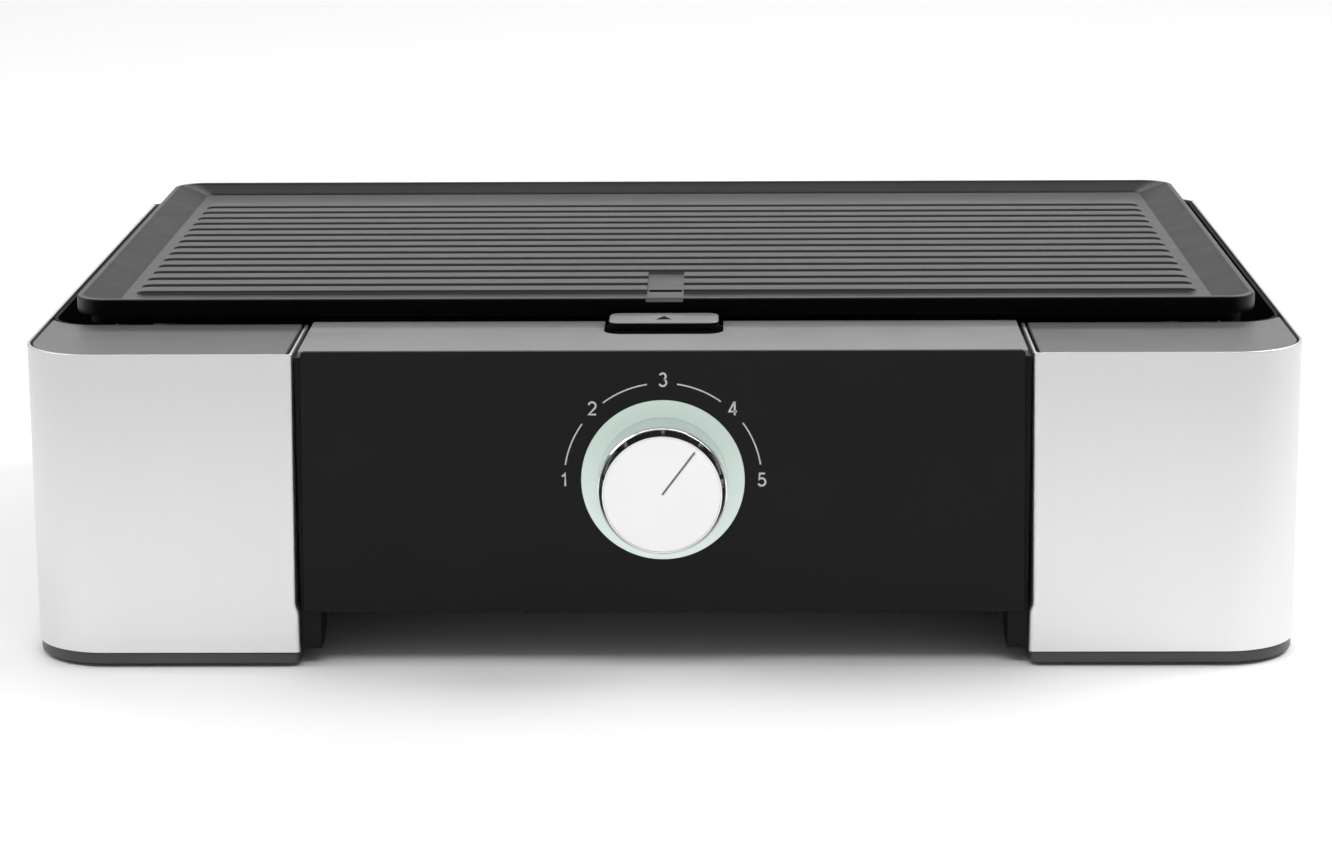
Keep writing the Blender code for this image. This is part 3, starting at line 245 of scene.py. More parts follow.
def element_look():
    """Heat-tinted tube: brown and blue-grey patches on dark steel."""
    look = Look("element_sheath_heat", 0.42, metallic=0.85)
    look.tint(look.noise(26.0, 5.0), (0.055, 0.045, 0.038), (0.13, 0.125, 0.13))
    look.gloss(look.noise(180.0), 0.34, 0.55)
    look.bump(look.noise(1600.0), 0.2)
    return look.material


def plate_look(name, colour, roughness, specular):
    """Non-stick coating on a casting: matt, with a fine orange-peel grain and a slow drift of tone."""
    look = Look(name, roughness, specular=specular)
    look.tint(look.noise(9.0, 6.0), shade(colour, 0.88), shade(colour, 1.12))
    look.gloss(look.noise(45.0, 5.0), roughness * 0.9, roughness * 1.12)
    look.bump(look.noise(1500.0, 4.0), 0.18, 0.00008)
    return look.material


def plate_side_shade_look():
    """Painted shade for the plate's sides: a darker copy of the coating, with hardly any sheen on what faces
    the front.
    """
    look = Look("plate_side_coating", 0.5)
    look.tint(look.noise(9.0, 6.0), (0.0012, 0.0012, 0.0012), (0.0016, 0.0016, 0.0016))
    parts = look.tree.nodes.new("ShaderNodeSeparateXYZ")
    look.tree.links.new(look.tree.nodes["Texture Coordinate"].outputs["Normal"], parts.inputs["Vector"])
    # Painted shade: the sheen is cut on faces that point to the front.
    sheen = look.span(parts.outputs["Y"], 0.03, 0.5, -0.97, -0.6)
    look.tree.links.new(sheen, look.shader.inputs["Specular IOR Level"])
    look.bump(look.noise(1500.0, 4.0), 0.1, 0.00008)
    return look.material


def ring_look():
    """Frosted ring with a faint glow, partly the lamp inside it and partly painted light; colour and glow are
    lighter towards its foot as painted light where the knob shades it.
    """
    look = Look("frosted_ring_painted_glow", 0.38, specular=0.3, Emission_Strength=1.2)
    # Painted light: base colour and glow are lighter low down, where the knob shades the ring, and darker at
    # its top.
    height = look.upward(look.noise(22.0))
    colour = look.tint(height, (0.375, 0.425, 0.4), (0.262, 0.314, 0.29), 0.045, 0.1)
    look.tree.links.new(colour, look.shader.inputs["Emission Color"])
    look.bump(look.noise(1300.0), 0.06)
    return look.material


def face_look():
    """The knob's bright disc: almost even, with a trace of gloss variation."""
    look = Look("spun_face", 0.34, metallic=0.35)
    look.tint(look.noise(40.0, 3.0), (0.88, 0.88, 0.885), (0.9, 0.9, 0.9))
    look.gloss(look.noise(120.0), 0.32, 0.36)
    look.bump(look.noise(2600.0), 0.008)
    return look.material


def chrome_look():
    """Polished plating, all but even."""
    look = Look("polished_chrome", 0.12, metallic=1.0)
    look.tint(look.noise(80.0), (0.76, 0.77, 0.78), (0.82, 0.82, 0.83))
    look.gloss(look.noise(300.0), 0.1, 0.14)
    return look.material


def ink_look():
    """The dial's printed scale."""
    look = Look("scale_print", 0.5, specular=0.3)
    look.tint(look.noise(400.0), (0.50, 0.50, 0.50), (0.60, 0.60, 0.60))
    return look.material


LOOKS["element_sheath"] = element_look()
LOOKS["coated_cast"] = plate_look("plate_coating", (0.0085, 0.0088, 0.009), 0.34, 0.62)
# Painted shade for the plate's sides.
LOOKS["plate_side"] = plate_side_shade_look()
# A darker, less glossy copy of the coating for the slopes: painted shade.
LOOKS["plate_slope"] = plate_look("plate_slope_coating", (0.006, 0.0062, 0.0063), 0.4, 0.2)
LOOKS["leg_plastic"] = grained("leg_moulding", (0.005, 0.005, 0.005), 0.5, grain=1600.0, specular=0.16)
LOOKS["light_ring"] = ring_look()
LOOKS["knob_face"] = face_look()
LOOKS["chrome"] = chrome_look()
LOOKS["scale_print"] = ink_look()


# ---------------------------------------------------------------- mesh helpers

def at_depth(depth):
    """World Y of a point this many millimetres behind the steel's front."""
    return FRONT + depth * MM


def link(name, mesh):
    """A mesh as an object in the scene."""
    made = bpy.data.objects.new(name, mesh)
    bpy.context.scene.collection.objects.link(made)
    return made


def from_form(name, form):
    """An object from a bmesh, with its faces turned outwards."""
    bmesh.ops.recalc_face_normals(form, faces=form.faces)
    mesh = bpy.data.meshes.new(name)
    form.to_mesh(mesh)
    form.free()
    return link(name, mesh)


def rings_solid(name, rings, closed=False):
    """A solid through rings of equally many points; ends are capped unless the rings close up."""
    form = bmesh.new()
    rows = [[form.verts.new(place) for place in ring] for ring in rings]
    pairs = list(zip(rows, rows[1:]))
    if closed:
        pairs.append((rows[-1], rows[0]))
    for first, second in pairs:
        for index in range(len(first)):
            after = (index + 1) % len(first)
            form.faces.new((first[index], first[after], second[after], second[index]))
    if not closed:
        form.faces.new(rows[0])
        form.faces.new(rows[-1])
    return from_form(name, form)


def prism(name, loop, low, high, plane="XY"):
    """A flat outline, given in metres, made solid between two levels."""
    places = {
        "XY": lambda a, b, c: (a, b, c),
        "XZ": lambda a, b, c: (a, c, b),
        "YZ": lambda a, b, c: (c, a, b),
    }[plane]
    return rings_solid(name, [[places(a, b, level) for a, b in loop] for level in (low, high)])


def turned(name, profile, steps=DIAL_STEPS):
    """A shape turned about the dial's axis through points of (radius, reach) in millimetres.

    Reach runs forwards from the steel's front. A point on the axis closes the shape.
    """
    form = bmesh.new()
    rows = []
    for radius, reach in profile:
        y = at_depth(-reach)
        if radius == 0:
            rows.append([form.verts.new((0.0, y, DIAL_Z))])
            continue
        row = []
        for step in range(steps):
            angle = 2 * math.pi * step / steps
            x = radius * MM * math.sin(angle)
            row.append(form.verts.new((x, y, DIAL_Z + radius * MM * math.cos(angle))))
        rows.append(row)
    pairs = list(zip(rows, rows[1:]))
    if len(rows[0]) > 1:
        pairs.append((rows[-1], rows[0]))
    for first, second in pairs:
        for index in range(steps):
            after = (index + 1) % steps
            corners = [first[index % len(first)], first[after % len(first)]]
            corners += [second[after % len(second)], second[index % len(second)]]
            form.faces.new(list(dict.fromkeys(corners)))
    return from_form(name, form)


def arc(centre, radius, start, end, steps):
    """Points along an arc between two angles in degrees."""
    points = []
    for step in range(steps + 1):
        angle = math.radians(start + (end - start) * step / steps)
        points.append((centre[0] + radius * math.cos(angle), centre[1] + radius * math.sin(angle)))
    return points


def rounded(low, high, radius, steps=10):
    """A rectangle with round corners, counter-clockwise."""
    points = arc((high[0] - radius, low[1] + radius), radius, -90, 0, steps)
    points += arc((high[0] - radius, high[1] - radius), radius, 0, 90, steps)
    points += arc((low[0] + radius, high[1] - radius), radius, 90, 180, steps)
    points += arc((low[0] + radius, low[1] + radius), radius, 180, 270, steps)
    return points


def mitre(points, index, least):
    """At a point of an open path, the step to its left that keeps the width of both its stretches."""
    here = Vector(points[index])
    before = Vector(points[max(index - 1, 0)])
    after = Vector(points[min(index + 1, len(points) - 1)])
    first = (here - before).normalized() if index else (after - here).normalized()
    second = (after - here).normalized() if index < len(points) - 1 else first
    along = (first + second).normalized()
    return Vector((-along.y, along.x)) / max(along.dot(first), least)


def in_world(points):
    """(X, depth) in millimetres to world X and Y in metres."""
    return [(across * MM, at_depth(depth)) for across, depth in points]


def to_side(points, side):
    """Mirrors a path for the left block and keeps it running the same way round."""
    return list(points) if side > 0 else [(-across, along) for across, along in reversed(points)]


def bake(piece):
    """Fixes the piece's modifiers into its mesh."""
    bpy.context.view_layer.update()
    evaluated = piece.evaluated_get(bpy.context.evaluated_depsgraph_get())
    mesh = bpy.data.meshes.new_from_object(evaluated)
    piece.modifiers.clear()
    piece.data = mesh


def combine(piece, other, operation):
    """Joins on or cuts away another solid, which is then removed."""
    step = piece.modifiers.new("combine", "BOOLEAN")
    step.operation = operation
    step.solver = "EXACT"
    step.object = other
    bake(piece)
    bpy.data.objects.remove(other, do_unlink=True)


def tidy(piece, angle=0.6):
    """Welds the mesh and merges flat neighbours into whole faces."""
    form = bmesh.new()
    form.from_mesh(piece.data)
    bmesh.ops.remove_doubles(form, verts=form.verts, dist=0.002 * MM)
    bmesh.ops.dissolve_limit(
        form, angle_limit=math.radians(angle), verts=form.verts, edges=form.edges
    )
    form.to_mesh(piece.data)
    form.free()


def soften(piece, width, segments=3, angle=32):
    """Rounds the piece's edges and smooths its shading."""
    bevel = piece.modifiers.new("edge", "BEVEL")
    bevel.width = width * MM
    bevel.segments = segments
    bevel.limit_method = "ANGLE"
    bevel.angle_limit = math.radians(angle)
    bevel.miter_outer = "MITER_ARC"
    bevel.use_clamp_overlap = True
    bake(piece)
    smooth(piece, 50)


def smooth(piece, angle):
    """Smooth shading that breaks at sharp edges, weighted towards the large faces."""
    for face in piece.data.polygons:
        face.use_smooth = True
    piece.data.set_sharp_from_angle(angle=math.radians(angle))
    weigh = piece.modifiers.new("normals", "WEIGHTED_NORMAL")
    weigh.keep_sharp = True
    weigh.weight = 60


def stand_for(piece, *nodes, look=None):
    """The piece takes the place, body, slot and look of CAD nodes."""
    slot = SLOT_OF[nodes[0]]
    piece.data.materials.clear()
    piece.data.materials.append(look or LOOKS[slot])
    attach(piece, BODY_OF[nodes[0]])
    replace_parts(piece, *nodes)


def add_on(piece, body, look):
    """A detail that rides on a body without replacing a node."""
    piece.data.materials.clear()
    piece.data.materials.append(look)
    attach(piece, body)


def refine(node, width, look=None, segments=3):
    """A copy of a CAD node with rounded edges, in its place."""
    piece = link("fine_" + node, frame["nodes"][node].data.copy())
    tidy(piece)
    soften(piece, width, segments)
    stand_for(piece, node, look=look)


# ---------------------------------------------------------------- body

def make_shell(name, side):
    """The steel skin of one block, with a rounded top edge and returns at both inner ends."""
    inner, outer, depth = 143.0, 250.0, 360.0
    corner, back, fold = 30.0, 6.0, 1.6
    front_return, back_return = 58.0, 2.8
    path = [(inner, front_return), (inner, 20.0), (inner, 6.0)]
    path += arc((inner + fold, fold), fold, 180, 270, 8)
    path += [(inner + 8, 0.0), (inner + 40, 0.0)]
    path += arc((outer - corner, corner), corner, -90, 0, 28)
    path += arc((outer - back, depth - back), back, 0, 90, 12)
    path += [(inner + 8, depth)]
    path += arc((inner + fold, depth - fold), fold, 90, 180, 8)
    path.append((inner, depth - back_return))
    thick, edge = 1.2, 0.45
    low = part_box(name + "_shell")[0].z / MM
    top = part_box(name + "_shell")[1].z / MM
    levels = [14.0, 20.5]
    levels += [21.5 + step * 0.75 for step in range(8)]
    levels += [29.0, 50.0, 75.0, 100.0, 118.0]
    turns = (0, 0.4, 0.8, 1.2, math.pi / 2)
    section = [(0.0, level) for level in (low, *levels)]
    section += [(edge - edge * math.cos(t), top - edge + edge * math.sin(t)) for t in turns]
    section += [(thick - edge + edge * math.sin(t), top - edge + edge * math.cos(t)) for t in turns]
    section += [(thick, level) for level in (*reversed(levels), low)]
    lean_end, lean_fade = 150.0, 6.0
    rings = []
    for index, point in enumerate(path):
        inward = mitre(path, index, 0.5)
        ring = []
        for deep, level in section:
            place = Vector(point) + inward * deep
            share = min(1.0, max(0.0, (lean_end - place.x) / lean_fade))
            across = place.x + share * lean(level)
            ring.append((side * across * MM, at_depth(place.y), level * MM))
        rings.append(ring)
    piece = rings_solid("fine_" + name + "_shell", rings)
    smooth(piece, 40)
    stand_for(piece, name + "_shell")


def lean(level):
    """How far the steel's inner edge stands off its mean line at a height, in millimetres."""
    top, foot, kink_start, kink_run = 125.7, 28.7, 21.5, 4.5
    upper = -0.2 + 1.2 * (top - level) / (top - foot)
    blend = min(1.0, max(0.0, (level - kink_start) / kink_run))
    blend = blend * blend * (3 - 2 * blend)
    return -0.1 * (1 - blend) + upper * blend


def make_deck(name, side):
    """The moulded top of one block, in front of the well."""
    inner, outer, near, corner = 145.6, 247.9, 2.1, 27.9
    well_side, well_front, well_corner, gap = 248.4, 62.2, 17.8, 0.3
    well = arc((well_side - well_corner, well_front + well_corner), well_corner + gap, -28, -90, 14)
    path = [(inner, near)]
    path += arc((outer - corner, near + corner), corner, -90, 0, 28)
    path.append((outer, well[0][1]))
    path += well
    path.append((inner, DECK_FAR))
    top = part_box(name + "_deck")[1].z
    outline = in_world(to_side(path, side))
    piece = prism("fine_" + name + "_deck", outline, top - DECK_THICK * MM, top)
    soften(piece, 0.45)
    # A darker copy of the deck moulding, painted shade, goes on the side decks.
    stand_for(piece, name + "_deck", look=LOOKS["shaded_side_deck"])


def make_centre_deck():
    """The middle deck and its finger scoop."""
    low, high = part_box("centre_deck")
    top = high.z
    half, near = 140.9, 3.7
    pocket_half, pocket_near = 26.0, 33.5
    scoop_half, scoop_near = pocket_half - DECK_THICK, pocket_near + DECK_THICK
    outline = in_world(rounded((-half, near), (half, DECK_FAR), 1.0, 4))
    piece = prism("fine_centre_deck", outline, top - DECK_THICK * MM, top)
    pocket = in_world(rounded((-pocket_half, pocket_near), (pocket_half, DECK_FAR), 8.0, 12))
    combine(piece, prism("pocket", pocket, low.z, top), "UNION")
    scoop = in_world(rounded((-scoop_half, scoop_near), (scoop_half, 90.0), 7.0, 14))
    combine(piece, prism("scoop", scoop, low.z + DECK_THICK * MM, top + 5 * MM), "DIFFERENCE")
    tidy(piece)
    soften(piece, 0.5)
    stand_for(piece, "centre_deck")
    piece.data.materials.append(LOOKS["well_enamel"])
    # The scoop's inside gets the near-black well coating as painted shade; the limits lie within the
    # thickness of its wall.
    for face in piece.data.polygons:
        middle = face.center
        across = abs(middle.x) < (scoop_half + 0.9) * MM
        within = across and middle.y > at_depth(scoop_near - 0.5)
        if within and middle.z < top - 0.9 * MM:
            face.material_index = 1


def make_fascia():
    """The gloss front panel; it widens a little towards its foot, and has a rounded top edge."""
    low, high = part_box("front_fascia")
    foot, head = low.z / MM, high.z / MM
    wide, narrow, chamfer, thick, bore = 141.1, 139.8, 1.0, 2.6, 30.5
    loop = [(-wide, foot + chamfer), (chamfer - wide, foot), (wide - chamfer, foot), (wide, foot + chamfer)]
    loop += [(narrow, head - chamfer), (narrow - chamfer, head)]
    loop += [(chamfer - narrow, head), (-narrow, head - chamfer)]
    near = at_depth(FASCIA_FACE)
    back = at_depth(FASCIA_FACE + thick)
    piece = prism("fine_front_fascia", [(a * MM, b * MM) for a, b in loop], near, back, "XZ")
    hole = turned("hole", [(0, 8), (bore, 8), (bore, -8), (0, -8)], 128)
    combine(piece, hole, "DIFFERENCE")
    tidy(piece)
    soften(piece, 0.6, segments=4)
    stand_for(piece, "front_fascia")


# Centre lines of the dial's figures, in a box 1 wide and 1.6 high: runs of points, or arcs
# given as (centre X, centre Z, radius X, radius Z, start, end in degrees).
FIGURES = {
    "1": [[(0.12, 1.22), (0.36, 1.3), (0.52, 1.56), (0.52, 0.0)]],
    "2": [[("arc", 0.5, 1.12, 0.42, 0.44, 168, -38), (0.1, 0.06), (0.95, 0.06)]],
    "3": [
        [("arc", 0.48, 1.2, 0.36, 0.36, 160, -90), (0.36, 0.84)],
        [(0.36, 0.84), ("arc", 0.48, 0.43, 0.42, 0.41, 90, -162)],
    ],
    "4": [[(0.7, 0.0), (0.7, 1.54), (0.62, 1.54), (0.04, 0.45), (0.96, 0.45)]],
    "5": [[(0.86, 1.53), (0.24, 1.53), (0.14, 0.8), ("arc", 0.47, 0.5, 0.44, 0.46, 128, -156)]],
}


def stroke(form, points, half, face, thick):
    """A flat printed line of even width along points of (X, Z) in metres."""
    rows = []
    for index, point in enumerate(points):
        side = mitre(points, index, 0.6) * half
        row = []
        for edge, level in ((-1, 0), (1, 0), (1, 1), (-1, 1)):
            place = Vector(point) + side * edge
            row.append(form.verts.new((place.x, face - thick * level, place.y)))
        rows.append(row)
    for first, second in zip(rows, rows[1:]):
        for index in range(4):
            after = (index + 1) % 4
            form.faces.new((first[index], first[after], second[after], second[index]))
    form.faces.new(rows[0])
    form.faces.new(rows[-1])


def figure_lines(sign):
    """A figure's runs as plain points."""
    runs = []
    for run in FIGURES[sign]:
        points = []
        for item in run:
            if item[0] != "arc":
                points.append(item)
                continue
            _, x, z, wide, high, start, end = item
            for step in range(19):
                angle = math.radians(start + (end - start) * step / 18)
                points.append((x + wide * math.cos(angle), z + high * math.sin(angle)))
        runs.append(points)
    return runs


def make_scale():
    """The dial's numbers and the four arcs between them, printed on the fascia."""
    spots = (("1", -38.0, 75.7), ("2", -27.2, 104.0), ("3", 0.2, 115.3))
    spots += (("4", 27.2, 103.8), ("5", 38.4, 75.6))
    face = at_depth(FASCIA_FACE)
    thick, size, figure_half, arc_half = 0.04 * MM, 3.25 * MM, 0.36 * MM, 0.27 * MM
    form = bmesh.new()
    for sign, across, up in spots:
        for run in figure_lines(sign):
            points = [((x - 0.5) * size + across * MM, (z - 0.8) * size + up * MM) for x, z in run]
            stroke(form, points, figure_half, face, thick)
    radius = 38.3 * MM
    for start, end in ((-81, -54.5), (-37, -9), (8.5, 36), (54, 81)):
        points = []
        for step in range(25):
            angle = math.radians(start + (end - start) * step / 24)
            points.append((radius * math.sin(angle), DIAL_Z + radius * math.cos(angle)))
        stroke(form, points, arc_half, face, thick)
    add_on(from_form("dial_scale", form), "base", LOOKS["scale_print"])


# ---------------------------------------------------------------- dial

def make_light_ring():
    """The lit ring: a raised frosted bead round a sunk floor that the shaft passes through."""
    lip = 0.7
    ring = [(30.1, -0.4), (31.7, -0.4), (31.7, lip - 0.7), (31.5, lip - 0.3), (31.1, lip)]
    ring += [(28.6, lip + 0.05), (25.7, lip + 0.05), (25.2, lip), (25.05, lip - 0.12), (25.05, -5.4)]
    ring += [(4.0, -5.4), (4.0, -7.0), (30.1, -7.0)]
    piece = turned("fine_light_ring", ring)
    smooth(piece, 40)
    stand_for(piece, "light_ring")


def make_knob():
    """The hollow knob: a tapered nose, a fine groove, and a straight skirt behind it."""
    reach = KNOB_REACH
    nose = [(0.0, -1.2), (22.4, -1.2), (22.42, -0.04), (22.5, 0.0), (22.8, 0.0)]
    nose += [(22.93, -0.06), (23.0, -0.2), (24.25, -5.3), (24.3, -5.46), (24.4, -5.6)]
    nose += [(24.72, -5.84), (24.86, -5.98), (24.9, -6.25)]
    nose += [(24.5, -6.36), (24.5, -6.8), (24.95, -6.88), (25.0, -7.0)]
    body = [(radius, reach + drop) for radius, drop in nose]
    body += [(25.0, -4.2), (24.6, -4.6), (23.0, -4.6), (23.0, reach - 4)]
    body += [(7.0, reach - 4), (7.0, 0.0), (3.3, 0.0), (3.3, reach - 8), (0, reach - 8)]
    piece = turned("fine_knob_body", body)
    smooth(piece, 24)
    stand_for(piece, "knob_body")


def make_knob_face():
    """The knob's bright disc, and the pointer line in its groove."""
    disc = [(0, 0.85), (22.2, 0.85), (22.33, 0.8), (22.36, 0.6), (22.36, 0.0), (0, 0.0)]
    piece = turned("fine_knob_cap", [(radius, KNOB_REACH - 0.9 + up) for radius, up in disc])
    groove = pointer_bar("groove", half=0.62, proud=1.0, deep=0.25, start=-0.4, end=21.3)
    combine(piece, groove, "DIFFERENCE")
    smooth(piece, 30)
    stand_for(piece, "knob_cap")

    piece = pointer_bar("fine_pointer_line", half=0.36, proud=-0.08, deep=0.24, start=0.0, end=20.9)
    soften(piece, 0.05, segments=2)
    stand_for(piece, "pointer_line")


def pointer_bar(name, half, proud, deep, start, end):
    """A thin bar along the pointer's direction, from proud of the cap's face to deep in it."""
    face = 0.1 - KNOB_REACH
    near = at_depth(face - proud)
    far = at_depth(face + deep)
    loop = rounded((-half * MM, start * MM), (half * MM, end * MM), half * 0.9 * MM, 4)
    piece = prism(name, loop, near, far, "XZ")
    turn = Matrix.Rotation(math.radians(POINTER_TURN), 4, "Y")
    piece.data.transform(Matrix.Translation((0, 0, DIAL_Z)) @ turn)
    return piece


# ---------------------------------------------------------------- plate and tray

# The casting, in millimetres: across from the middle, back from the steel's front, up from the table.
PLATE_HALF = 238.0
PLATE_NEAR = 61.7
PLATE_FAR = 357.6
PLATE_CORNER = 13.5
RIM_TOP = 135.5
FLOOR = 131.1
UNDERSIDE = 128.1
RIB_FIRST, RIB_PITCH, RIB_COUNT = 99.6, 15.0, 15
CHANNEL_HALF = 7.5
FEET_ACROSS = 214.0
FEET_DEPTHS = (84.0, 336.0)


def plate_ring(inset, radius, height, far=1.0, steps=14):
    """The plate's outline moved in, at a height; far scales the inset along the back edge."""
    low = (inset - PLATE_HALF, PLATE_NEAR + inset)
    high = (PLATE_HALF - inset, PLATE_FAR - inset * far)
    return [(x, y, height * MM) for x, y in in_world(rounded(low, high, radius, steps))]


def plate_blank():
    """The plate before its ribs and openings: a rounded lip round a hollow with long slopes."""
    edge = [(2.0, UNDERSIDE), (0.7, UNDERSIDE + 0.5), (0.1, UNDERSIDE + 1.6), (0.0, UNDERSIDE + 3.0)]
    edge += [(0.0, RIM_TOP - 1.0), (0.12, RIM_TOP - 0.5), (0.35, RIM_TOP - 0.16)]
    edge += [(0.7, RIM_TOP - 0.02), (1.1, RIM_TOP)]
    outside = [plate_ring(inset, PLATE_CORNER - inset, height) for inset, height in edge]
    plate = rings_solid("fine_grill_plate", outside)
    slope = [(16.6, 3.0, FLOOR), (16.2, 3.2, FLOOR - 0.25), (15.5, 3.5, FLOOR - 0.25)]
    slope += [(14.8, 3.8, FLOOR + 0.15), (12.8, 4.6, FLOOR + 0.85), (4.2, 9.6, RIM_TOP - 0.95)]
    slope += [(2.9, 10.7, RIM_TOP - 0.3), (2.3, 11.2, RIM_TOP - 0.06), (1.9, 11.6, RIM_TOP)]
    slope += [(1.8, 11.7, RIM_TOP + 3)]
    combine(plate, rings_solid("basin", [plate_ring(*level, far=0.7) for level in slope]), "DIFFERENCE")
    return plate


def open_plate(plate):
    """Cuts the drain channel, the slot in its floor and the notch in the lip before it."""
    above = (RIM_TOP + 5) * MM
    channel = in_world(rounded((-CHANNEL_HALF, 66.2), (CHANNEL_HALF, 137.1), 1.0, 4))
    combine(plate, prism("channel", channel, FLOOR * MM, above), "DIFFERENCE")
    slot = in_world(rounded((-6.9, 97.6), (6.9, 102.4), 1.2, 6))
    combine(plate, prism("slot", slot, (UNDERSIDE - 5) * MM, above), "DIFFERENCE")
    wedge = [(at_depth(depth), up * MM) for depth, up in ((60.0, 133.2), (67.2, 136.2), (60.0, 140.0))]
    notch = prism("notch", wedge, -CHANNEL_HALF * MM, CHANNEL_HALF * MM, "YZ")
    combine(plate, notch, "DIFFERENCE")


def stand_plate(plate):
    """Adds the skirt, with its gap for the tray's tab, and the four feet."""
    skirt = ((5.5, 8.0, 128.4), (5.5, 8.0, 124.4), (8.0, 5.5, 124.4), (8.0, 5.5, 128.4))
    rows = [plate_ring(*level, steps=8) for level in skirt]
    combine(plate, rings_solid("skirt", rows, closed=True), "UNION")
    gap = in_world([(-20.5, 60.0), (20.5, 60.0), (20.5, 73.7), (-20.5, 73.7)])
    combine(plate, prism("gap", gap, 120 * MM, UNDERSIDE * MM), "DIFFERENCE")
    for side in (-1, 1):
        for depth in FEET_DEPTHS:
            foot = in_world(arc((side * FEET_ACROSS, depth), 5.0, 0, 345, 23))
            combine(plate, prism("foot", foot, 117.8 * MM, 129 * MM), "UNION")


def make_plate():
    """The ribbed casting: lip, slopes with a thin groove at their foot, ribs, channel, slot and feet."""
    plate = plate_blank()
    for index in range(RIB_COUNT):
        combine(plate, rib_bar(RIB_FIRST + index * RIB_PITCH), "UNION")
    open_plate(plate)
    stand_plate(plate)
    tidy(plate, 0.3)
    soften(plate, 0.22, segments=2, angle=38)
    stand_for(plate, "grill_plate")
    plate.data.materials.append(LOOKS["plate_side"])
    plate.data.materials.append(LOOKS["plate_slope"])
    # The darker side look, painted shade, goes on the lip's outside and on all that hangs below it, and the
    # darker slope look, painted shade, on the tilted faces between the lip and the gutter.
    for face in plate.data.polygons:
        inset = rim_inset(face.center)
        outer = face.normal.z < 0.6 and inset < 1.2
        if outer or face.center.z < (RIM_TOP - 6.5) * MM:
            face.material_index = 1
        elif 2.2 < inset < 15.4 and 0.5 < face.normal.z < 0.985:
            face.material_index = 2


def rim_inset(place):
    """How far inside the plate's outline a place is, in millimetres."""
    middle = (PLATE_NEAR + PLATE_FAR) / 2
    depth = (place.y - FRONT) / MM
    across = abs(place.x) / MM - (PLATE_HALF - PLATE_CORNER)
    along = abs(depth - middle) - ((PLATE_FAR - PLATE_NEAR) / 2 - PLATE_CORNER)
    if across > 0 and along > 0:
        return PLATE_CORNER - math.hypot(across, along)
    return PLATE_CORNER - max(across, along)


def rib_bar(depth):
    """One rib: filleted foot, steep flanks, rounded crest, and ends that run out."""
    half, height = 4.6, 1.65
    profile = [(-half - 0.9, -0.5), (-half - 0.6, 0.02), (-half - 0.25, 0.12), (-half, 0.4)]
    profile += [(-half + 0.12, height - 0.34), (-half + 0.26, height - 0.1), (-half + 0.6, height)]
    profile += [(-offset, up) for offset, up in reversed(profile)]
    right_end = ((213.0, 1.0), (215.2, 0.9), (216.6, 0.62), (217.5, 0.25))
    left_end = [(-across, size) for across, size in reversed(right_end)]
    rings = []
    for across, size in (*left_end, *right_end):
        ring = []
        for offset, up in profile:
            rise = up * size if up > 0 else up
            narrow = offset * (0.45 + 0.55 * size)
            ring.append((across * MM, at_depth(depth + narrow), (FLOOR + rise) * MM))
        rings.append(ring)
    return rings_solid("rib", rings)


def make_grip():
    """The tray's grip: a rounded tab with a small sunk arrow."""
    low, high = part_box("tray_grip")
    near, far = 41.2, 61.1
    loop = in_world(rounded((low.x / MM, near), (high.x / MM, far), 4.5, 12))
    piece = prism("fine_tray_grip", loop, low.z, high.z)
    soften(piece, 1.0, segments=5)
    sink = 0.35 * MM
    arrow = in_world([(-3.2, 47.0), (3.2, 47.0), (0.0, 54.4)])
    combine(piece, prism("arrow", arrow, high.z - sink, high.z + 2 * MM), "DIFFERENCE")
    smooth(piece, 40)
    stand_for(piece, "tray_grip")
    piece.data.materials.append(LOOKS["well_enamel"])
    # The tab's sides get the near-black well coating as painted shade, and the sunk arrow's floor gets it
    # too.
    for face in piece.data.polygons:
        sunk = face.center.z < high.z - 0.2 * MM and face.normal.z > 0.9
        if sunk or face.normal.z < 0.55:
            face.material_index = 1


def make_spring():
    """The probe's spring: its foot stays on the reflector and its head follows the probe's cap."""
    low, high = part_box("probe_spring")
    middle = (low + high) / 2
    wire = 0.45 * MM
    radius = (high.x - low.x) / 2 - wire
    turns, steps = 5, 24
    rise = (high.z - low.z - 2 * wire) / (turns * steps)
    rings = []
    for step in range(turns * steps + 1):
        angle = 2 * math.pi * step / steps
        out = Vector((math.cos(angle), math.sin(angle), 0.0))
        centre = Vector((middle.x, middle.y, low.z + wire + rise * step)) + out * radius
        section = arc((0.0, 0.0), wire, 0, 324, 9)
        rings.append([centre + out * across + Vector((0, 0, up)) for across, up in section])
    piece = rings_solid("fine_probe_spring", rings)
    smooth(piece, 50)
    slot = SLOT_OF["probe_spring"]
    piece.data.materials.append(LOOKS[slot])
    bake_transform(piece)
    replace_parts(piece, "probe_spring")


# ---------------------------------------------------------------- stage and light

def make_stage():
    """A plain pale floor under soft light."""
    form = bmesh.new()
    bmesh.ops.create_grid(form, x_segments=8, y_segments=8, size=12.0)
    floor = from_form("floor", form)
    look = Look("pale_floor", 0.7, specular=0.1)
    look.tint(look.noise(0.8), (0.90, 0.90, 0.90), (0.93, 0.93, 0.93))
    floor.data.materials.append(look.material)


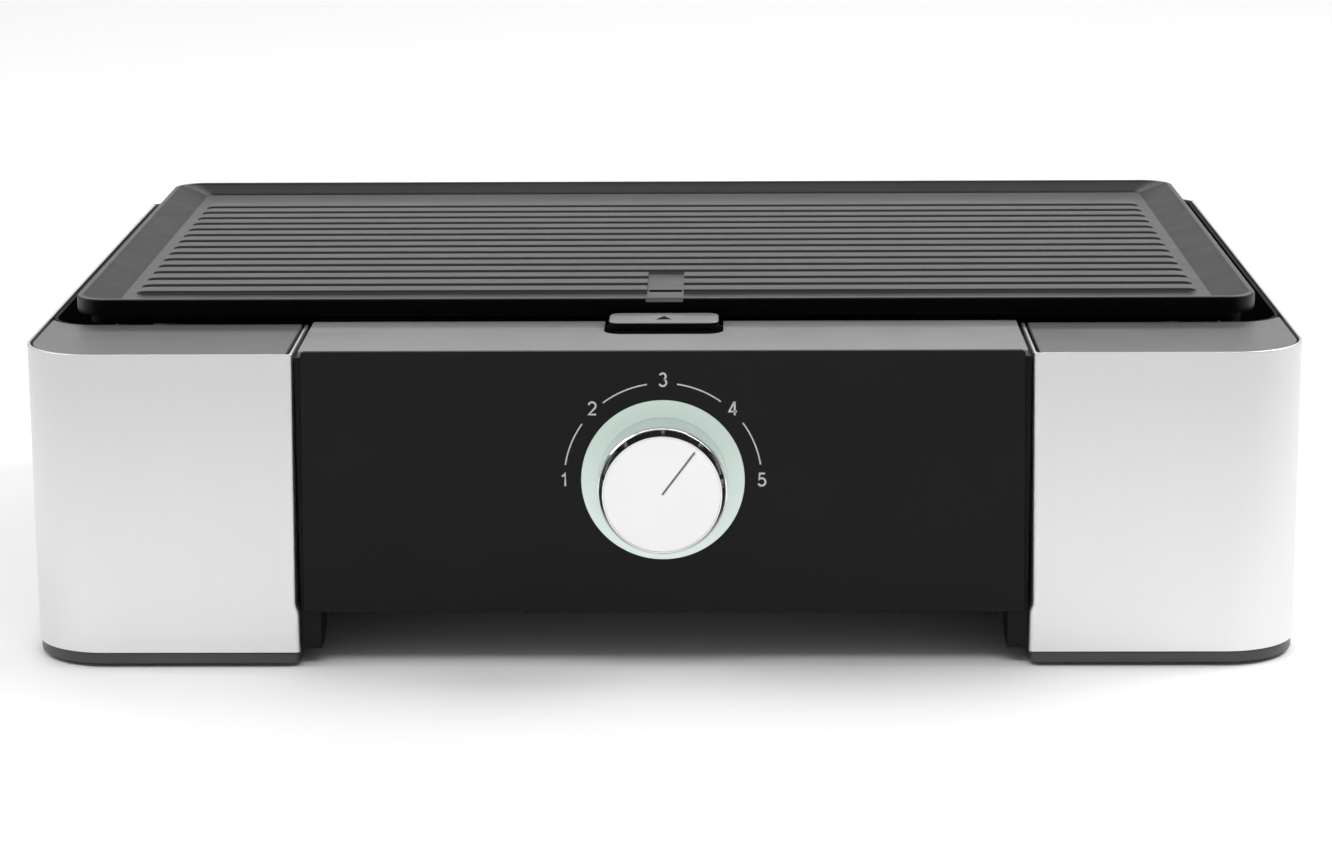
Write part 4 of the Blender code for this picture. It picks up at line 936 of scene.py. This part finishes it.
def make_world():
    """Soft surroundings: bright near the horizon, dimmer overhead and to the sides."""
    world = bpy.data.worlds.new("studio")
    bpy.context.scene.world = world
    world.use_nodes = True
    tree = world.node_tree
    background = tree.nodes["Background"]
    place = tree.nodes.new("ShaderNodeTexCoord")
    parts = tree.nodes.new("ShaderNodeSeparateXYZ")
    ramp = tree.nodes.new("ShaderNodeValToRGB")
    tree.links.new(place.outputs["Generated"], parts.inputs["Vector"])
    tree.links.new(parts.outputs["Z"], ramp.inputs["Fac"])
    sideways = tree.nodes.new("ShaderNodeMath")
    sideways.operation = "ABSOLUTE"
    tree.links.new(parts.outputs["X"], sideways.inputs[0])
    dim = tree.nodes.new("ShaderNodeMapRange")
    dim.inputs["From Min"].default_value = 0.35
    dim.inputs["From Max"].default_value = 0.85
    dim.inputs["To Min"].default_value = 1.0
    dim.inputs["To Max"].default_value = 0.72
    tree.links.new(sideways.outputs["Value"], dim.inputs["Value"])
    both = tree.nodes.new("ShaderNodeVectorMath")
    both.operation = "SCALE"
    tree.links.new(ramp.outputs["Color"], both.inputs[0])
    tree.links.new(dim.outputs["Result"], both.inputs["Scale"])
    tree.links.new(both.outputs["Vector"], background.inputs["Color"])
    stops = ((0.0, 0.95), (0.15, 0.95), (0.27, 0.42), (1.0, 0.36))
    elements = ramp.color_ramp.elements
    while len(elements) < len(stops):
        elements.new(0.5)
    for element, (position, value) in zip(elements, stops):
        element.position = position
        element.color = (value, value, value, 1.0)
    background.inputs["Strength"].default_value = 1.0


def area_light(name, place, aim, size, energy):
    """A soft rectangular light aimed at a point."""
    data = bpy.data.lights.new(name, "AREA")
    data.shape = "RECTANGLE"
    data.size, data.size_y = size
    data.energy = energy
    light = bpy.data.objects.new(name, data)
    light.location = place
    light.rotation_euler = (Vector(aim) - Vector(place)).to_track_quat("-Z", "Y").to_euler()
    bpy.context.scene.collection.objects.link(light)


# ---------------------------------------------------------------- assembly

# Inside pieces that are shown as refined copies, with the rounding of their edges in millimetres.
ROUNDED = {
    "inlet_housing": 0.3,
    "terminal_block": 0.4,
    "thermostat_body": 0.4,
    "well_tub": 0.3,
    "drip_tray": 0.3,
    "reflector_tray": 0.15,
}


def dress_plain_nodes():
    """Gives the CAD nodes that show as they are their looks and smooth shading."""
    replaced = {n for o in bpy.data.objects for n in o.get("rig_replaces", [])}
    for node, thing in frame["nodes"].items():
        if node in replaced:
            continue
        for entry in thing.material_slots:
            entry.material = LOOKS[SLOT_OF[node]]
        for face in thing.data.polygons:
            face.use_smooth = True
        thing.data.set_sharp_from_angle(angle=math.radians(35))


make_camera()
for label, hand in SIDES:
    make_shell(label, hand)
    make_deck(label, hand)
    refine(label + "_base_trim", 0.5)
    refine(label + "_inner_wall", 0.6, LOOKS["leg_plastic"])
make_centre_deck()
make_fascia()
make_scale()
make_light_ring()
make_knob()
make_knob_face()
make_plate()
make_grip()
make_spring()
for inside, rounding in ROUNDED.items():
    refine(inside, rounding, segments=2)
dress_plain_nodes()
make_stage()
make_world()
area_light("key", (1.5, 0.3, 1.7), (0, 0, 0.1), (1.2, 1.2), 31.0)
area_light("fill", (-2.3, -0.4, 2.1), (0, 0, 0.1), (1.8, 1.8), 30.0)
area_light("front", (0.0, -1.6, 2.4), (0, -0.5, 0.0), (2.6, 0.8), 22.0)
area_light("backdrop", (0.0, 4.6, 3.8), (0, 2.0, 0.0), (8.0, 1.4), 150.0)
bpy.context.scene.view_settings.view_transform = "Standard"
